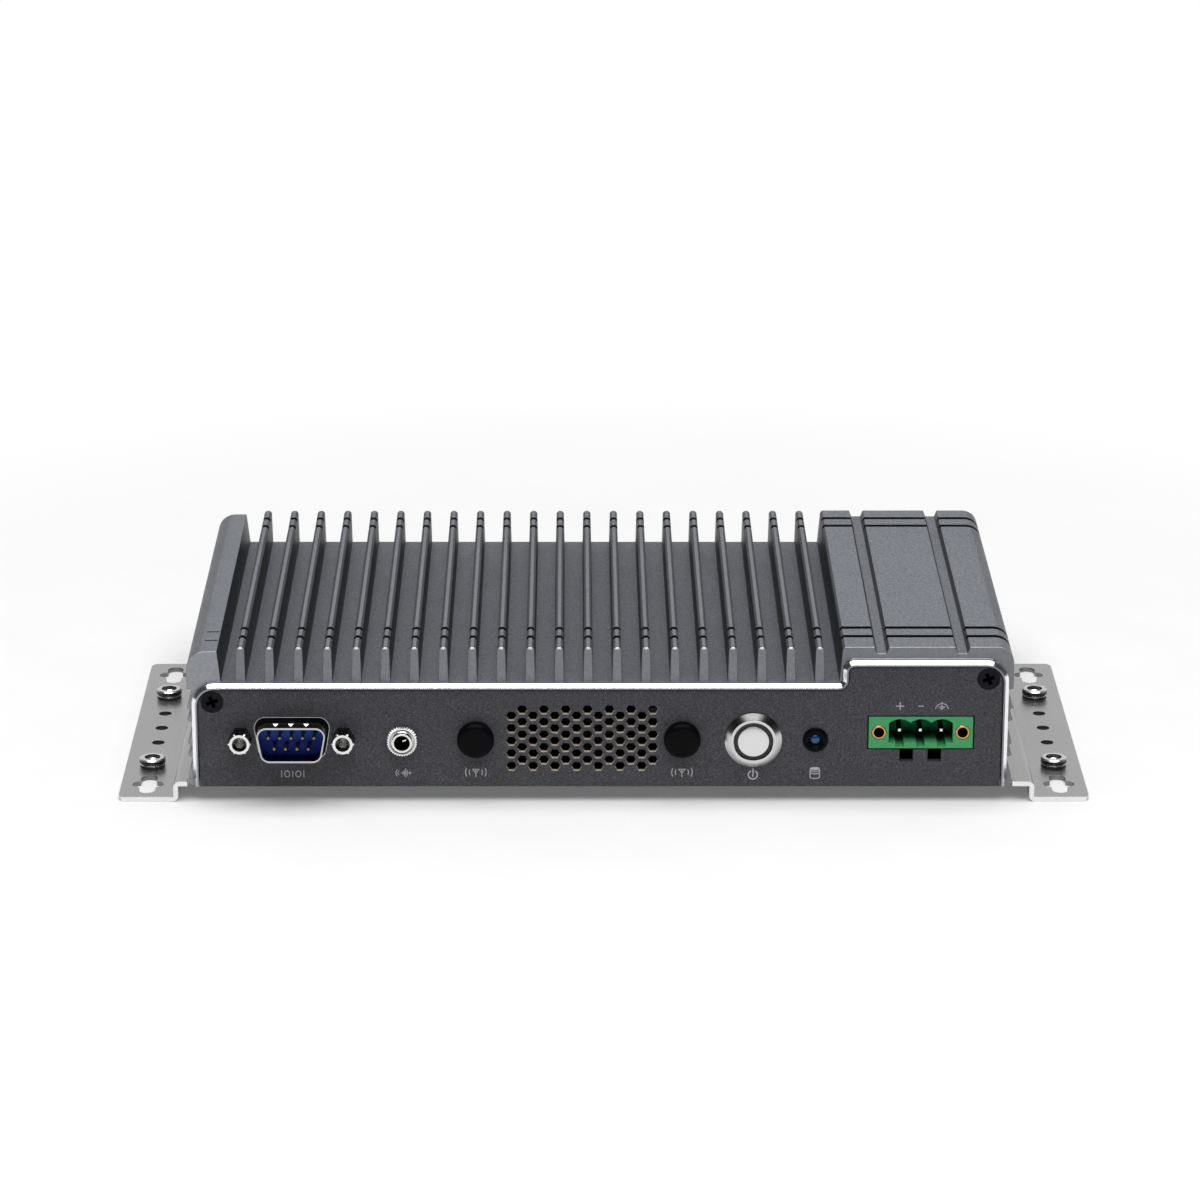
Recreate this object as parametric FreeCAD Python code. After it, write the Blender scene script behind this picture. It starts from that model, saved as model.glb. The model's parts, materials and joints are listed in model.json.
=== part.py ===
import FreeCAD, Part
import math
import os

from FreeCAD import Vector

# Fanless industrial computer in a finned cast housing, with two wall brackets.
# Millimetres. X to the right, Y from the front panel towards the rear, Z up.
# X is counted from the middle of the housing, Y from the face of the front panel and
# Z from the mounting plane under the brackets. The last step moves the origin to the
# centre of the four wall mounting slots.

# Flats that stand for round forms, fewer where a form is small or hidden
large_sides = 28
small_sides = 20
fastener_sides = 12
hidden_sides = 6

# How far a cutting tool runs past the face that it cuts
past = 1.0

# Distance below which two faces count as one
same = 0.01

# Housing
depth = 114.2
rim_width = 198.3
low_height = 26.4
high_height = 32.3
step_x = 58.8
rim_proud = 0.4
rim_chamfer = 0.9
rim_wall = 1.35
rim_corner = 5.5
step_outer_corner = 2.9
step_inner_corner = 1.0
panel_gap = 0.3
panel_thickness = 2.0
wall = 2.6
roof = 3.0
rim_lap = 1.0

# Sides of the housing
rib_proud = 1.2
band_peak = 2.5
band_top = 6.2
lip_height = 1.9
rib_groups = 2
# Foot, peak and top of each louvre, as shares of one group's height
louvres = ((0.09, 0.16, 0.37), (0.39, 0.50, 0.87))

# Fins, left cheek and grooved block on top of the housing
fin_height = 8.6
fin_pitch = 7.02
fin_top_width = 1.9
fin_base_width = 2.3
fin_tip = 0.55
end_slope = 0.1
casting_setback = 1.3
casting_rear_setback = 0.4
cheek_drop = 1.0
cheek_width = 7.4
cheek_draft = 0.9
cheek_corner = 4.5
block_inset = 0.1
block_draft = 0.7
block_corner = 4.0
groove_top_width = 3.6
groove_bottom_width = 2.3
groove_depth = 1.6
groove_from_right = (12.5, 32.1)
notch_width = 1.8
notch_depth = 1.0
notch_drop = 5.0
notch_front_rows = (10.6, 17.1)
notch_rear_rows = (7.2, 13.8)
mark_depth = 0.2
mark_width = 0.7
mark_length = 3.0
mark_inset = 0.3

# Brackets
sheet = 1.2
bracket_step = 4.0
bracket_length = 99.2
flange_reach = 18.25
bracket_shift = 0.95
flange_width = 13.5
inner_flange_width = 16.5
bend_outside = 1.5
bracket_corner = 2.0
slot_spacing_y = 81.2
slot_inset = 6.6
slot_width = 4.0
slot_across = 7.6
slot_along = 12.2
nut_first_y = 22.2
nut_spacing = 51.1
nut_diameter = 6.5
nut_height = 2.3
nut_bore = 3.4
nut_shank = 5.4
side_hole = 3.2
side_hole_pitch = 10.8

# Screws
screw_diameter = 3.0
screw_head = 5.5
screw_head_height = 1.5
screw_length = 7.0
screw_tip_gap = 1.0
board_screw_diameter = 2.4
fit = 0.05
hole_clearance = 0.2
boss_diameter = 7.0
side_boss_diameter = 8.0
side_boss_inset = 5.6
side_boss_height = 9.0
bracket_screw_rows = (20.0, 78.0)
panel_screw_inset = 5.0
panel_screw_drop = 4.6
panel_boss_length = 10.0

# Circuit board
board_side_gap = 8.55
board_thickness = 1.6
board_lift = 2.6
board_front_gap = 4.0
board_rear_gap = 1.5
standoff_flats = 5.0
standoff_side_inset = 8.0
standoff_front_inset = 22.0
standoff_rear_inset = 16.0
standoff_bore_roof = 0.3

# Serial port
serial_x = -74.9
port_height = 12.6
serial_width = 17.5
serial_tall = 9.0
serial_corner = 2.4
serial_lean = 0.18
serial_wall = 0.45
serial_reach = 5.6
serial_cutout_gap = 0.75
serial_flange_width = 30.8
serial_flange_tall = 12.5
serial_block_width = 19.8
serial_block_depth = 10.0
jackscrew_spacing = 24.99
jackscrew_flats = 5.0
jackscrew_length = 5.0
jackscrew_bore = 2.4
jackscrew_shank = 2.5
pin_pitch = 2.77
pin_row_pitch = 2.84
pin_diameter = 1.0
pin_setback = 1.2
pin_tip = 0.25
pin_root = 2.0

# Audio socket
audio_x = -48.15
audio_height = 12.0
audio_bore = 3.6
audio_sleeve = 6.0
audio_sleeve_reach = 2.4
audio_nut = 8.0
audio_nut_height = 1.5
audio_thread_step = 0.5
audio_back = 0.5
audio_body_width = 11.0
audio_body_depth = 13.0
audio_bore_end = 1.5

# Antenna hole plugs
antenna_x = (-30.28, 19.95)
antenna_height = 12.4
antenna_hole = 6.3
antenna_cap = 8.8
antenna_cap_height = 2.9
antenna_edge = 0.9
antenna_crown = 2.6
antenna_crown_drop = 0.2
antenna_snap = 7.4
antenna_snap_length = 1.6

# Vent grille
vent_left = -21.6
vent_pitch_x = 2.645
vent_pitch_z = 3.24
vent_columns = 14
vent_rows = 5
vent_hole = 2.3
vent_height = 5.2

# Power button
button_x = 37.25
button_height = 12.05
button_barrel = 12.0
button_barrel_length = 17.0
button_bezel = 13.9
button_bezel_top = 10.5
button_bezel_height = 1.5
button_bezel_lip = 0.3
button_ring = 9.44
button_ring_length = 3.0
button_ring_sink = 0.4
button_collar = 1.0
button_end_gap = 0.4
button_cap = 7.65
button_cap_dome = 0.25
button_cap_edge = 0.9
button_cap_sink = 0.1
button_plunger = 5.0
button_plunger_gap = 1.0
button_travel = 1.6
button_nut_flats = 14.0
button_nut_height = 1.8
running_gap = 0.05
glue_gap = 0.02

# Disk lamp
lamp_x = 52.35
lamp_height = 12.1
lamp_holder = 6.1
lamp_barrel = 5.0
lamp_holder_height = 0.7
lamp_holder_rim = 0.6
lamp_holder_bevel = 0.3
lamp_holder_length = 3.0
lamp_lens = 2.8
lamp_nose = 0.3
lamp_nose_edge = 0.6
lamp_lens_length = 4.0

# Supply socket
supply_x = 77.98
supply_width = 25.35
supply_tall = 8.08
supply_height = 13.93
supply_gap = 0.35
supply_depth = 12.0
supply_pitch = 5.08
supply_cavity_depth = 8.4
supply_cavity_width = 15.6
supply_floor = 1.3
supply_shoulder = 1.6
supply_scallop_roof = 0.6
supply_scallop_radius = 3.8
supply_key_width = 2.05
supply_key_depth = 1.0
supply_pin = 1.0
supply_pin_setback = 1.8
supply_pin_end = 1.5
supply_flange_spacing = 20.36
supply_insert = 3.6
supply_insert_bore = 2.1
supply_insert_length = 8.0
supply_slot_width = 3.36
supply_slot_tall = 3.14
supply_slot_spacing = 6.85
supply_foot_width = 3.4
supply_foot_setback = 1.0
supply_insert_floor = 0.5

# Rear sockets
network_x = (-42.0, -22.0)
network_width = 16.0
network_tall = 13.4
network_depth = 21.0
network_plug_width = 11.8
network_plug_tall = 7.6
network_plug_depth = 14.0
network_floor = 3.2
network_latch_width = 6.0
network_latch_tall = 1.6
network_insert_sink = 0.2
network_contacts = 8
network_contact_pitch = 1.02
network_contact_width = 0.44
network_contact_drop = (2.6, 2.2)
network_contact_front = (4.8, 3.5)
usb_x = (0.0, 18.0)
usb_width = 13.4
usb_tall = 15.6
usb_depth = 17.6
usb_mouth_width = 12.5
usb_mouth_tall = 5.1
usb_mouth_spacing = 8.0
usb_mouth_depth = 12.0
usb_tongue = 1.9
usb_tongue_inset = 0.9
usb_tongue_drop = 0.15
usb_tongue_setback = 1.2
display_x = 40.0
display_width = 15.2
display_tall = 6.2
display_depth = 12.0
display_corner = 1.6
display_wall = 0.6
display_tongue_width = 10.8
display_tongue_tall = 1.1
display_floor = 1.0
shield = 0.4
socket_reach = 0.6
socket_gap = 0.3

# Parts on the board
processor_x = 8.0
processor_y = 58.0
processor_width = 34.0
processor_length = 24.0
processor_substrate = 0.6
die_width = 12.0
die_length = 10.0
die_height = 1.0
pad_overhang = 2.0
pad_height = 0.5
heat_block_waist = 24.0
heat_block_size = 42.0
heat_block_flange = 4.0
memory_x = -50.0
memory_rear_gap = 10.6
memory_width = 67.6
memory_length = 30.0
memory_lift = 3.4
memory_thickness = 1.0
memory_chip_width = 9.0
memory_chip_length = 12.0
memory_chip_pitch = 15.0
memory_chip_shift = 3.0
memory_chips = 4
chip_height = 1.0
memory_bar_length = 6.0
memory_bar_overlap = 2.0
memory_bar_height = 5.8
memory_arm = 1.8
memory_arm_height = 5.2
memory_side_gap = 0.2
storage_x = 46.0
storage_y = 44.0
storage_width = 22.0
storage_length = 42.0
storage_thickness = 0.8
storage_lift = 2.4
storage_chip_width = 14.0
storage_chip_length = 12.0
storage_chip_places = (-10.0, 6.0)
storage_bar_length = 6.0
storage_bar_height = 4.2
storage_notch = 3.5
storage_post_head = 5.0
storage_post_neck = 3.3
storage_post_cap = 1.0
battery_x = 20.0
battery_y = 33.0
battery_diameter = 20.0
battery_height = 3.2
battery_holder_wall = 1.5
battery_holder_floor = 0.8
battery_holder_height = 4.2
coil_size = 10.0
coil_height = 6.0
coil_spacing = 14.0
coil_edge_gap = 20.0
coil_y = 46.0
capacitor_diameter = 8.0
capacitor_height = 12.0
capacitor_spacing = 10.0
capacitor_edge_gap = 16.0
capacitor_y = 66.0
pair = 2

# Heights and places that follow from the sizes above
base_z = bracket_step
low_top = base_z + low_height
high_top = base_z + high_height
fin_top = low_top + fin_height
cheek_top = fin_top - cheek_drop
block_top = fin_top + block_inset
seat_z = base_z + sheet
board_bottom = seat_z + board_lift
board_top = board_bottom + board_thickness
ports_z = base_z + port_height
audio_z = base_z + audio_height
antenna_z = base_z + antenna_height
button_z = base_z + button_height
lamp_z = base_z + lamp_height
supply_z = base_z + supply_height
wall_x = rim_width / 2
side_x = wall_x + rib_proud
cavity_x = side_x - rib_proud - wall
board_x = cavity_x - board_side_gap
standoff_x = board_x - standoff_side_inset
coil_x = board_x - coil_edge_gap
capacitor_x = board_x - capacitor_edge_gap
low_ceiling = low_top - roof
high_ceiling = block_top - groove_depth - roof
inner_step_x = step_x + rim_wall + wall / 2
panel_screws = ((-(wall_x - panel_screw_inset), low_top - panel_screw_drop),
                (wall_x - panel_screw_inset, high_top - panel_screw_drop))
side_boss_x = cavity_x - side_boss_inset + side_boss_diameter / 4
bracket_middle_y = bracket_length / 2
bracket_outer_x = side_x + flange_reach
slot_x = bracket_outer_x - slot_inset
web_x = bracket_outer_x - flange_width
inner_flange_edge = web_x - inner_flange_width
nut_rows = (nut_first_y, nut_first_y + nut_spacing)
standoff_rows = (standoff_front_inset, depth - standoff_rear_inset)
sockets_y = depth + socket_reach
memory_rear = sockets_y - network_depth - memory_rear_gap
memory_y = memory_rear - memory_length / 2
die_top = board_top + processor_substrate + die_height


def box(x0, x1, y0, y1, z0, z1):
    return Part.makeBox(x1 - x0, y1 - y0, z1 - z0, Vector(x0, y0, z0))


def block(x, y, z0, width, length, height):
    """Box that stands on z0, centred on x and y."""
    return box(x - width / 2, x + width / 2, y - length / 2, y + length / 2, z0, z0 + height)


def rod_y(x, z, diameter, y0, y1):
    return Part.makeCylinder(diameter / 2, y1 - y0, Vector(x, y0, z), Vector(0, 1, 0))


def rod_z(x, y, diameter, z0, z1):
    return Part.makeCylinder(diameter / 2, z1 - z0, Vector(x, y, z0), Vector(0, 0, 1))


def arc_points(before, point, after, radius):
    """Start, middle and end of the arc that rounds one corner."""
    towards_before = (before - point).normalize()
    towards_after = (after - point).normalize()
    half = towards_before.getAngle(towards_after) / 2
    reach = radius / math.tan(half)
    bisector = (towards_before + towards_after).normalize()
    middle = point + bisector * (radius / math.sin(half) - radius)
    return point + towards_before * reach, middle, point + towards_after * reach


def rounded_face(points, place):
    """Flat face through points (u, v) or (u, v, corner radius)."""
    corners = [place(point[0], point[1]) for point in points]
    radii = [point[2] if len(point) > 2 else 0 for point in points]
    spans = []
    for index, radius in enumerate(radii):
        point = corners[index]
        after = corners[(index + 1) % len(corners)]
        span = (point, point, point)
        if radius:
            span = arc_points(corners[index - 1], point, after, radius)
        spans.append(span)
    edges = []
    for index, (start, middle, end) in enumerate(spans):
        if radii[index]:
            edges.append(Part.Arc(start, middle, end).toShape())
        following = spans[(index + 1) % len(spans)][0]
        if end.distanceToPoint(following) > 1e-6:
            edges.append(Part.makeLine(end, following))
    return Part.Face(Part.Wire(edges))


def along_y(points, y0, y1):
    """Prism of an (x, z) outline from y0 to y1."""
    return rounded_face(points, lambda u, v: Vector(u, y0, v)).extrude(Vector(0, y1 - y0, 0))


def along_x(points, x0, x1):
    """Prism of a (y, z) outline from x0 to x1."""
    return rounded_face(points, lambda u, v: Vector(x0, u, v)).extrude(Vector(x1 - x0, 0, 0))


def along_z(points, z0, z1):
    """Prism of an (x, y) outline from z0 to z1."""
    return rounded_face(points, lambda u, v: Vector(u, v, z0)).extrude(Vector(0, 0, z1 - z0))


def polygon(sides, flats, turn=0.0):
    """Corners of a regular polygon of a given width across flats."""
    radius = flats / 2 / math.cos(math.pi / sides)
    angles = [turn + 2 * math.pi * side / sides for side in range(sides)]
    return [(radius * math.cos(angle), radius * math.sin(angle)) for angle in angles]


def prism_y(x, z, flats, y0, y1, sides, turn=0.0):
    return along_y([(x + u, z + v) for u, v in polygon(sides, flats, turn)], y0, y1)


def prism_z(x, y, flats, z0, z1, sides):
    return along_z([(x + u, y + v) for u, v in polygon(sides, flats)], z0, z1)


def turned_y(x, z, profile, sides):
    """Turned solid about a line along Y, from (radius, y) points, with narrow flats."""
    rings = []
    for radius, y in profile:
        rings.append([Vector(x + u, y, z + v) for u, v in polygon(sides, 2 * radius)])
    faces = []
    for ring, following in zip(rings, rings[1:] + rings[:1]):
        for side in range(sides):
            corners = [ring[side], ring[side - 1], following[side - 1], following[side]]
            apart = [p for i, p in enumerate(corners) if p.distanceToPoint(corners[i - 1]) > 1e-6]
            if len(apart) > 2:
                faces.append(Part.Face(Part.makePolygon(apart + apart[:1])))
    solid = Part.makeSolid(Part.makeShell(faces)).removeSplitter()
    if solid.Volume < 0:
        solid.reverse()
    return solid


def stadium_z(x, y, length, width, lengthwise, z0, z1):
    """Slot with round ends, lengthwise along X or along Y."""
    half = (length - width) / 2
    dx, dy = (half, 0) if lengthwise == "x" else (0, half)
    ends = [rod_z(x - dx, y - dy, width, z0, z1), rod_z(x + dx, y + dy, width, z0, z1)]
    if lengthwise == "x":
        middle = box(x - half, x + half, y - width / 2, y + width / 2, z0, z1)
    else:
        middle = box(x - width / 2, x + width / 2, y - half, y + half, z0, z1)
    return middle.multiFuse(ends)


def union(shapes):
    return shapes[0].multiFuse(shapes[1:]).removeSplitter()


def rim_outline(inset, bottom):
    """Front outline of the housing, moved inwards by inset, open end at bottom."""
    half = wall_x - inset
    return [
        (-half, bottom),
        (-half, low_top - inset, rim_corner - inset),
        (step_x + inset, low_top - inset, step_inner_corner + inset),
        (step_x + inset, high_top - inset, step_outer_corner - inset),
        (half, high_top - inset, rim_corner - inset),
        (half, bottom),
    ]


def side_profile():
    """Heights and how far they stand out, from the bottom of the side to its lip."""
    lip_bottom = low_top - lip_height
    group_height = (lip_bottom - base_z - band_top) / rib_groups
    profile = [(base_z, rib_proud), (base_z + band_peak, rib_proud), (base_z + band_top, 0.0)]
    for group in range(rib_groups):
        foot = base_z + band_top + group * group_height
        for low, peak, high in louvres:
            profile.append((foot + low * group_height, 0.0))
            profile.append((foot + peak * group_height, rib_proud))
            profile.append((foot + high * group_height, 0.0))
    profile.append((lip_bottom, 0.0))
    profile.append((lip_bottom + rib_proud / 4, rib_proud))
    return profile


def fin_places():
    """X of each fin: as many as fit, centred between the cheek and the block."""
    left = -side_x + cheek_width + cheek_draft
    room = step_x - block_draft - left
    count = int(room / fin_pitch)
    first = left + (room - (count - 1) * fin_pitch) / 2
    return [first + index * fin_pitch for index in range(count)]


def groove_places():
    return [side_x - distance for distance in groove_from_right]


def fin_outline(x):
    """Drafted fin with bevelled tip, from its left foot to its right foot."""
    foot = fin_base_width / 2
    tip = fin_top_width / 2
    return [
        (x - foot, low_top), (x - tip, fin_top - fin_tip), (x - tip + fin_tip, fin_top),
        (x + tip - fin_tip, fin_top), (x + tip, fin_top - fin_tip), (x + foot, low_top),
    ]


def casting_outline():
    """Cross-section of the housing: sides, cheek, fins and grooved block."""
    outline = [(-wall_x - proud, z) for z, proud in side_profile()]
    outline.append((-side_x, cheek_top, cheek_corner))
    outline.append((-side_x + cheek_width, cheek_top))
    outline.append((-side_x + cheek_width + cheek_draft, low_top))
    for x in fin_places():
        outline.extend(fin_outline(x))
    outline.append((step_x - block_draft, low_top))
    outline.append((step_x, block_top - fin_tip))
    outline.append((step_x + fin_tip, block_top))
    for x in sorted(groove_places()):
        outline.append((x - groove_top_width / 2, block_top))
        outline.append((x - groove_bottom_width / 2, block_top - groove_depth))
        outline.append((x + groove_bottom_width / 2, block_top - groove_depth))
        outline.append((x + groove_top_width / 2, block_top))
    outline.append((side_x, block_top, block_corner))
    outline.extend((wall_x + proud, z) for z, proud in reversed(side_profile()))
    return outline


def end_wedge(y):
    """Sloped cut at the front end of the fins, the cheek and the block."""
    above = block_top + past
    lean = end_slope * (above - low_top)
    return along_x([(y, low_top), (y, above), (y + lean, above)], -side_x - past, side_x + past)


def cross_notch(y):
    """Square groove across the fins and the block, down over the right edge."""
    near = y - notch_width / 2
    far = y + notch_width / 2
    left = fin_places()[0] - fin_pitch / 2
    above = block_top + past
    fins = box(left, step_x - block_draft, near, far, fin_top - notch_depth, above)
    skin = box(step_x - past, side_x + past, near, far, block_top - notch_drop, above)
    core_left = step_x - 2 * past
    core_right = side_x - notch_depth
    core_low = block_top - 2 * notch_drop
    core_high = block_top - notch_depth
    core = along_y(
        [(core_left, core_low), (core_left, core_high),
         (core_right, core_high, block_corner - notch_depth), (core_right, core_low)],
        near - past, far + past)
    return [fins, skin.cut(core)]


def end_rim(outer_y, inner_y, edge_y):
    """One end frame of the housing, with its polished edge towards edge_y."""
    rim = along_y(rim_outline(0.0, base_z), outer_y, inner_y)
    edges = []
    for edge in rim.Edges:
        bounds = edge.BoundBox
        flat = abs(bounds.YMin - edge_y) < same and abs(bounds.YMax - edge_y) < same
        if flat and bounds.ZMax > base_z + same:
            edges.append(edge)
    return rim.makeChamfer(rim_chamfer, edges)


def screw_boss(x, z, y0, y1):
    return prism_y(x, z, boss_diameter, y0, y1, hidden_sides)


def standoff_places():
    return [(side * standoff_x, y) for side in (-1, 1) for y in standoff_rows]


def bracket_screw_places():
    return [(side * side_boss_x, y) for side in (-1, 1) for y in bracket_screw_rows]


def cavity():
    """Inside of the housing, less the bosses that stand in it."""
    y0 = panel_thickness
    y1 = depth - panel_thickness
    low_room = box(-cavity_x, cavity_x, y0, y1, base_z - past, low_ceiling)
    high_room = box(inner_step_x, cavity_x, y0, y1, low_ceiling, high_ceiling)
    bosses = []
    for x, y in standoff_places():
        bosses.append(prism_z(x, y, boss_diameter, board_top, high_ceiling, hidden_sides))
    for x, y in bracket_screw_places():
        top = seat_z + side_boss_height
        bosses.append(prism_z(x, y, side_boss_diameter, seat_z, top, hidden_sides))
    for x, z in panel_screws:
        bosses.append(screw_boss(x, z, y0, y0 + panel_boss_length))
        bosses.append(screw_boss(x, z, y1 - panel_boss_length, y1))
    return low_room.fuse(high_room).cut(bosses)


def heatsink_cover():
    inner_front = casting_setback + end_slope * fin_height + rim_lap
    rear = depth + rim_proud
    casting = along_y(casting_outline(), casting_setback, depth - casting_rear_setback)
    rows = list(notch_front_rows) + [depth - row for row in notch_rear_rows]
    notches = [tool for y in rows for tool in cross_notch(y)]
    marks = []
    for y in notch_front_rows:
        mark_x = -side_x + cheek_width - mark_length / 2 - mark_inset
        marks.append(block(mark_x, y, cheek_top - mark_depth, mark_length, mark_width, past))
    casting = casting.cut([end_wedge(casting_setback)] + notches + marks)
    casting = union([
        casting,
        end_rim(-rim_proud, inner_front, -rim_proud),
        end_rim(depth - inner_front, rear, rear),
    ])
    opening = rim_outline(rim_wall, base_z - past)
    cuts = [
        along_y(opening, -past, panel_thickness),
        along_y(opening, depth - panel_thickness, depth + past),
        cavity(),
    ]
    for side in (-1, 1):
        low_x, high_x = sorted((side * (cavity_x - past), side * (side_x + past)))
        cuts.append(box(low_x, high_x, panel_thickness, bracket_length + panel_gap, 0.0, seat_z))
    thread = screw_diameter + 2 * fit
    for x, y in standoff_places():
        cuts.append(prism_z(x, y, thread, board_top, board_top + screw_length, hidden_sides))
    for x, y in bracket_screw_places():
        cuts.append(prism_z(x, y, thread, seat_z, seat_z + screw_length, hidden_sides))
    for x, z in panel_screws:
        end = panel_thickness + screw_length
        cuts.append(prism_y(x, z, thread, 0.0, end, hidden_sides))
        cuts.append(prism_y(x, z, thread, depth - end, depth, hidden_sides))
    return casting.cut(cuts)


def panel_blank(y0, y1):
    """Front or rear panel before its cut-outs."""
    return along_y(rim_outline(rim_wall + panel_gap, base_z), y0, y1)


def countersink(x, z, face_y, direction):
    """Screw hole with a conical seat, for a screw that is driven along direction."""
    wide = screw_head / 2 + fit
    narrow = screw_diameter / 2 + hole_clearance
    seat_y = face_y + direction * (wide - narrow)
    far_y = face_y + direction * panel_thickness
    profile = [(0, face_y), (wide, face_y), (narrow, seat_y), (narrow, far_y), (0, far_y)]
    return turned_y(x, z, profile, fastener_sides)


def d_outline(x, z, width, tall, corner):
    """Outline of a D-shaped connector, wider at the top."""
    lean = serial_lean * tall
    half = width / 2
    return [
        (x - half, z + tall / 2, corner),
        (x + half, z + tall / 2, corner),
        (x + half - lean, z - tall / 2, corner),
        (x - half + lean, z - tall / 2, corner),
    ]


def vent_holes():
    """Hexagon pattern: five in each column, odd columns half a step lower."""
    holes = []
    for column in range(vent_columns):
        x = vent_left + column * vent_pitch_x
        raise_z = vent_pitch_z / 2 * (column % 2)
        for row in range(vent_rows):
            z = base_z + vent_height + raise_z + row * vent_pitch_z
            holes.append(prism_y(x, z, vent_hole, -past, panel_thickness + past, 6))
    return holes


def jackscrew_places():
    return [serial_x - jackscrew_spacing / 2, serial_x + jackscrew_spacing / 2]


def supply_cutout(y0, y1):
    """Opening for the supply socket, with two slots under it."""
    half = supply_width / 2 + supply_gap
    low = supply_z - supply_tall / 2 - supply_gap
    high = supply_z + supply_tall / 2 + supply_gap
    cuts = [box(supply_x - half, supply_x + half, y0, y1, low, high)]
    for side in (-1, 1):
        left = supply_x + side * supply_slot_spacing / 2 - supply_slot_width / 2
        cuts.append(box(left, left + supply_slot_width, y0, y1, low - supply_slot_tall, low + fit))
    return cuts


def front_panel():
    y0 = -past
    y1 = panel_thickness + past
    width = serial_width + 2 * serial_cutout_gap
    tall = serial_tall + 2 * serial_cutout_gap
    cuts = [along_y(d_outline(serial_x, ports_z, width, tall, serial_corner + serial_cutout_gap), y0, y1)]
    holes = [(x, ports_z, screw_diameter) for x in jackscrew_places()]
    holes.append((audio_x, audio_z, audio_sleeve))
    holes.extend((x, antenna_z, antenna_hole) for x in antenna_x)
    holes.append((button_x, button_z, button_barrel))
    holes.append((lamp_x, lamp_z, lamp_barrel))
    for x, z, diameter in holes:
        cuts.append(prism_y(x, z, diameter + hole_clearance, y0, y1, fastener_sides))
    cuts.extend(countersink(x, z, 0.0, 1) for x, z in panel_screws)
    return panel_blank(0.0, panel_thickness).cut(cuts + supply_cutout(y0, y1) + vent_holes())


def socket_cutout(x, width, tall):
    """Rectangular hole in the rear panel round a socket that stands on the board."""
    return box(
        x - width / 2 - socket_gap, x + width / 2 + socket_gap,
        depth - panel_thickness - past, depth + past,
        board_top - socket_gap, board_top + tall + socket_gap)


def rear_panel():
    cuts = [socket_cutout(x, network_width, network_tall) for x in network_x]
    cuts += [socket_cutout(x, usb_width, usb_tall) for x in usb_x]
    cuts.append(socket_cutout(display_x, display_width, display_tall))
    cuts.extend(countersink(x, z, depth, -1) for x, z in panel_screws)
    return panel_blank(depth - panel_thickness, depth).cut(cuts)


def bottom_cover():
    """Flat sheet between the brackets, wider behind them."""
    left = bracket_shift - inner_flange_edge + panel_gap
    right = bracket_shift + inner_flange_edge - panel_gap
    front = panel_thickness + panel_gap
    rear = depth - panel_thickness - panel_gap
    ears = bracket_length + 2 * panel_gap
    ear_x = cavity_x - panel_gap
    plate = along_z(
        [(left, front), (left, ears), (-ear_x, ears), (-ear_x, rear),
         (ear_x, rear), (ear_x, ears), (right, ears), (right, front)],
        base_z, seat_z)
    hole = screw_diameter + hole_clearance
    return plate.cut([prism_z(x, y, hole, 0.0, seat_z + past, hidden_sides) for x, y in standoff_places()])


def bracket(side):
    """Folded wall bracket with two cross slots, three holes and two nut holes."""
    middle = bracket_shift
    profile = [
        (bracket_outer_x, 0.0), (bracket_outer_x, sheet), (web_x, sheet), (web_x, seat_z, bend_outside),
        (inner_flange_edge, seat_z), (inner_flange_edge, base_z),
        (web_x - sheet, base_z), (web_x - sheet, 0.0, bend_outside),
    ]
    points = [(middle + side * point[0],) + tuple(point[1:]) for point in profile]
    folded = along_y(points, 0.0, bracket_length)
    inner_x = middle + side * inner_flange_edge
    outer_x = middle + side * bracket_outer_x
    above = seat_z + past
    plan = along_z(
        [(inner_x, 0.0), (outer_x, 0.0, bracket_corner),
         (outer_x, bracket_length, bracket_corner), (inner_x, bracket_length)],
        -past, above)
    front = panel_thickness + panel_gap
    low_x, high_x = sorted((inner_x - side * past, side * (side_x + panel_gap)))
    cuts = [box(low_x, high_x, -past, front, 0.0, above)]
    row_x = middle + side * slot_x
    flange_top = sheet + past
    for y in (bracket_middle_y - slot_spacing_y / 2, bracket_middle_y + slot_spacing_y / 2):
        cuts.append(stadium_z(row_x, y, slot_across, slot_width, "x", -past, flange_top))
        cuts.append(stadium_z(row_x, y, slot_along, slot_width, "y", -past, flange_top))
    for step in (-1, 0, 1):
        y = bracket_middle_y + step * side_hole_pitch
        cuts.append(rod_z(row_x, y, side_hole, -past, flange_top))
    cuts += [prism_z(row_x, y, nut_shank, -past, flange_top, hidden_sides) for y in nut_rows]
    for x, y in bracket_screw_places():
        if x * side > 0:
            cuts.append(prism_z(x, y, screw_diameter + hole_clearance, 0.0, above, hidden_sides))
    return folded.common(plan).cut(cuts)


def clinch_nut(x, y):
    """Round press nut on the flange, with its shank through the sheet."""
    head = prism_z(x, y, nut_diameter, sheet, sheet + nut_height, fastener_sides)
    shank = prism_z(x, y, nut_shank, fit, sheet, hidden_sides)
    return head.fuse(shank).removeSplitter().cut(rod_z(x, y, nut_bore, 0.0, sheet + nut_height))


def clinch_nuts():
    places = [(bracket_shift + side * slot_x, y) for side in (-1, 1) for y in nut_rows]
    return Part.makeCompound([clinch_nut(x, y) for x, y in places])


def pan_screw(x, y, diameter, tip_z):
    """Screw that points up, with its head under the base of the housing."""
    head = prism_z(x, y, screw_head, base_z - screw_head_height, base_z, fastener_sides)
    shank = prism_z(x, y, diameter, base_z, tip_z, hidden_sides)
    return head.fuse(shank).removeSplitter()


def bracket_screws():
    tip_z = seat_z + screw_length - screw_tip_gap
    return Part.makeCompound([pan_screw(x, y, screw_diameter, tip_z) for x, y in bracket_screw_places()])


def bottom_screws():
    tip_z = board_bottom - standoff_bore_roof - fit
    return Part.makeCompound([pan_screw(x, y, board_screw_diameter, tip_z) for x, y in standoff_places()])


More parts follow.
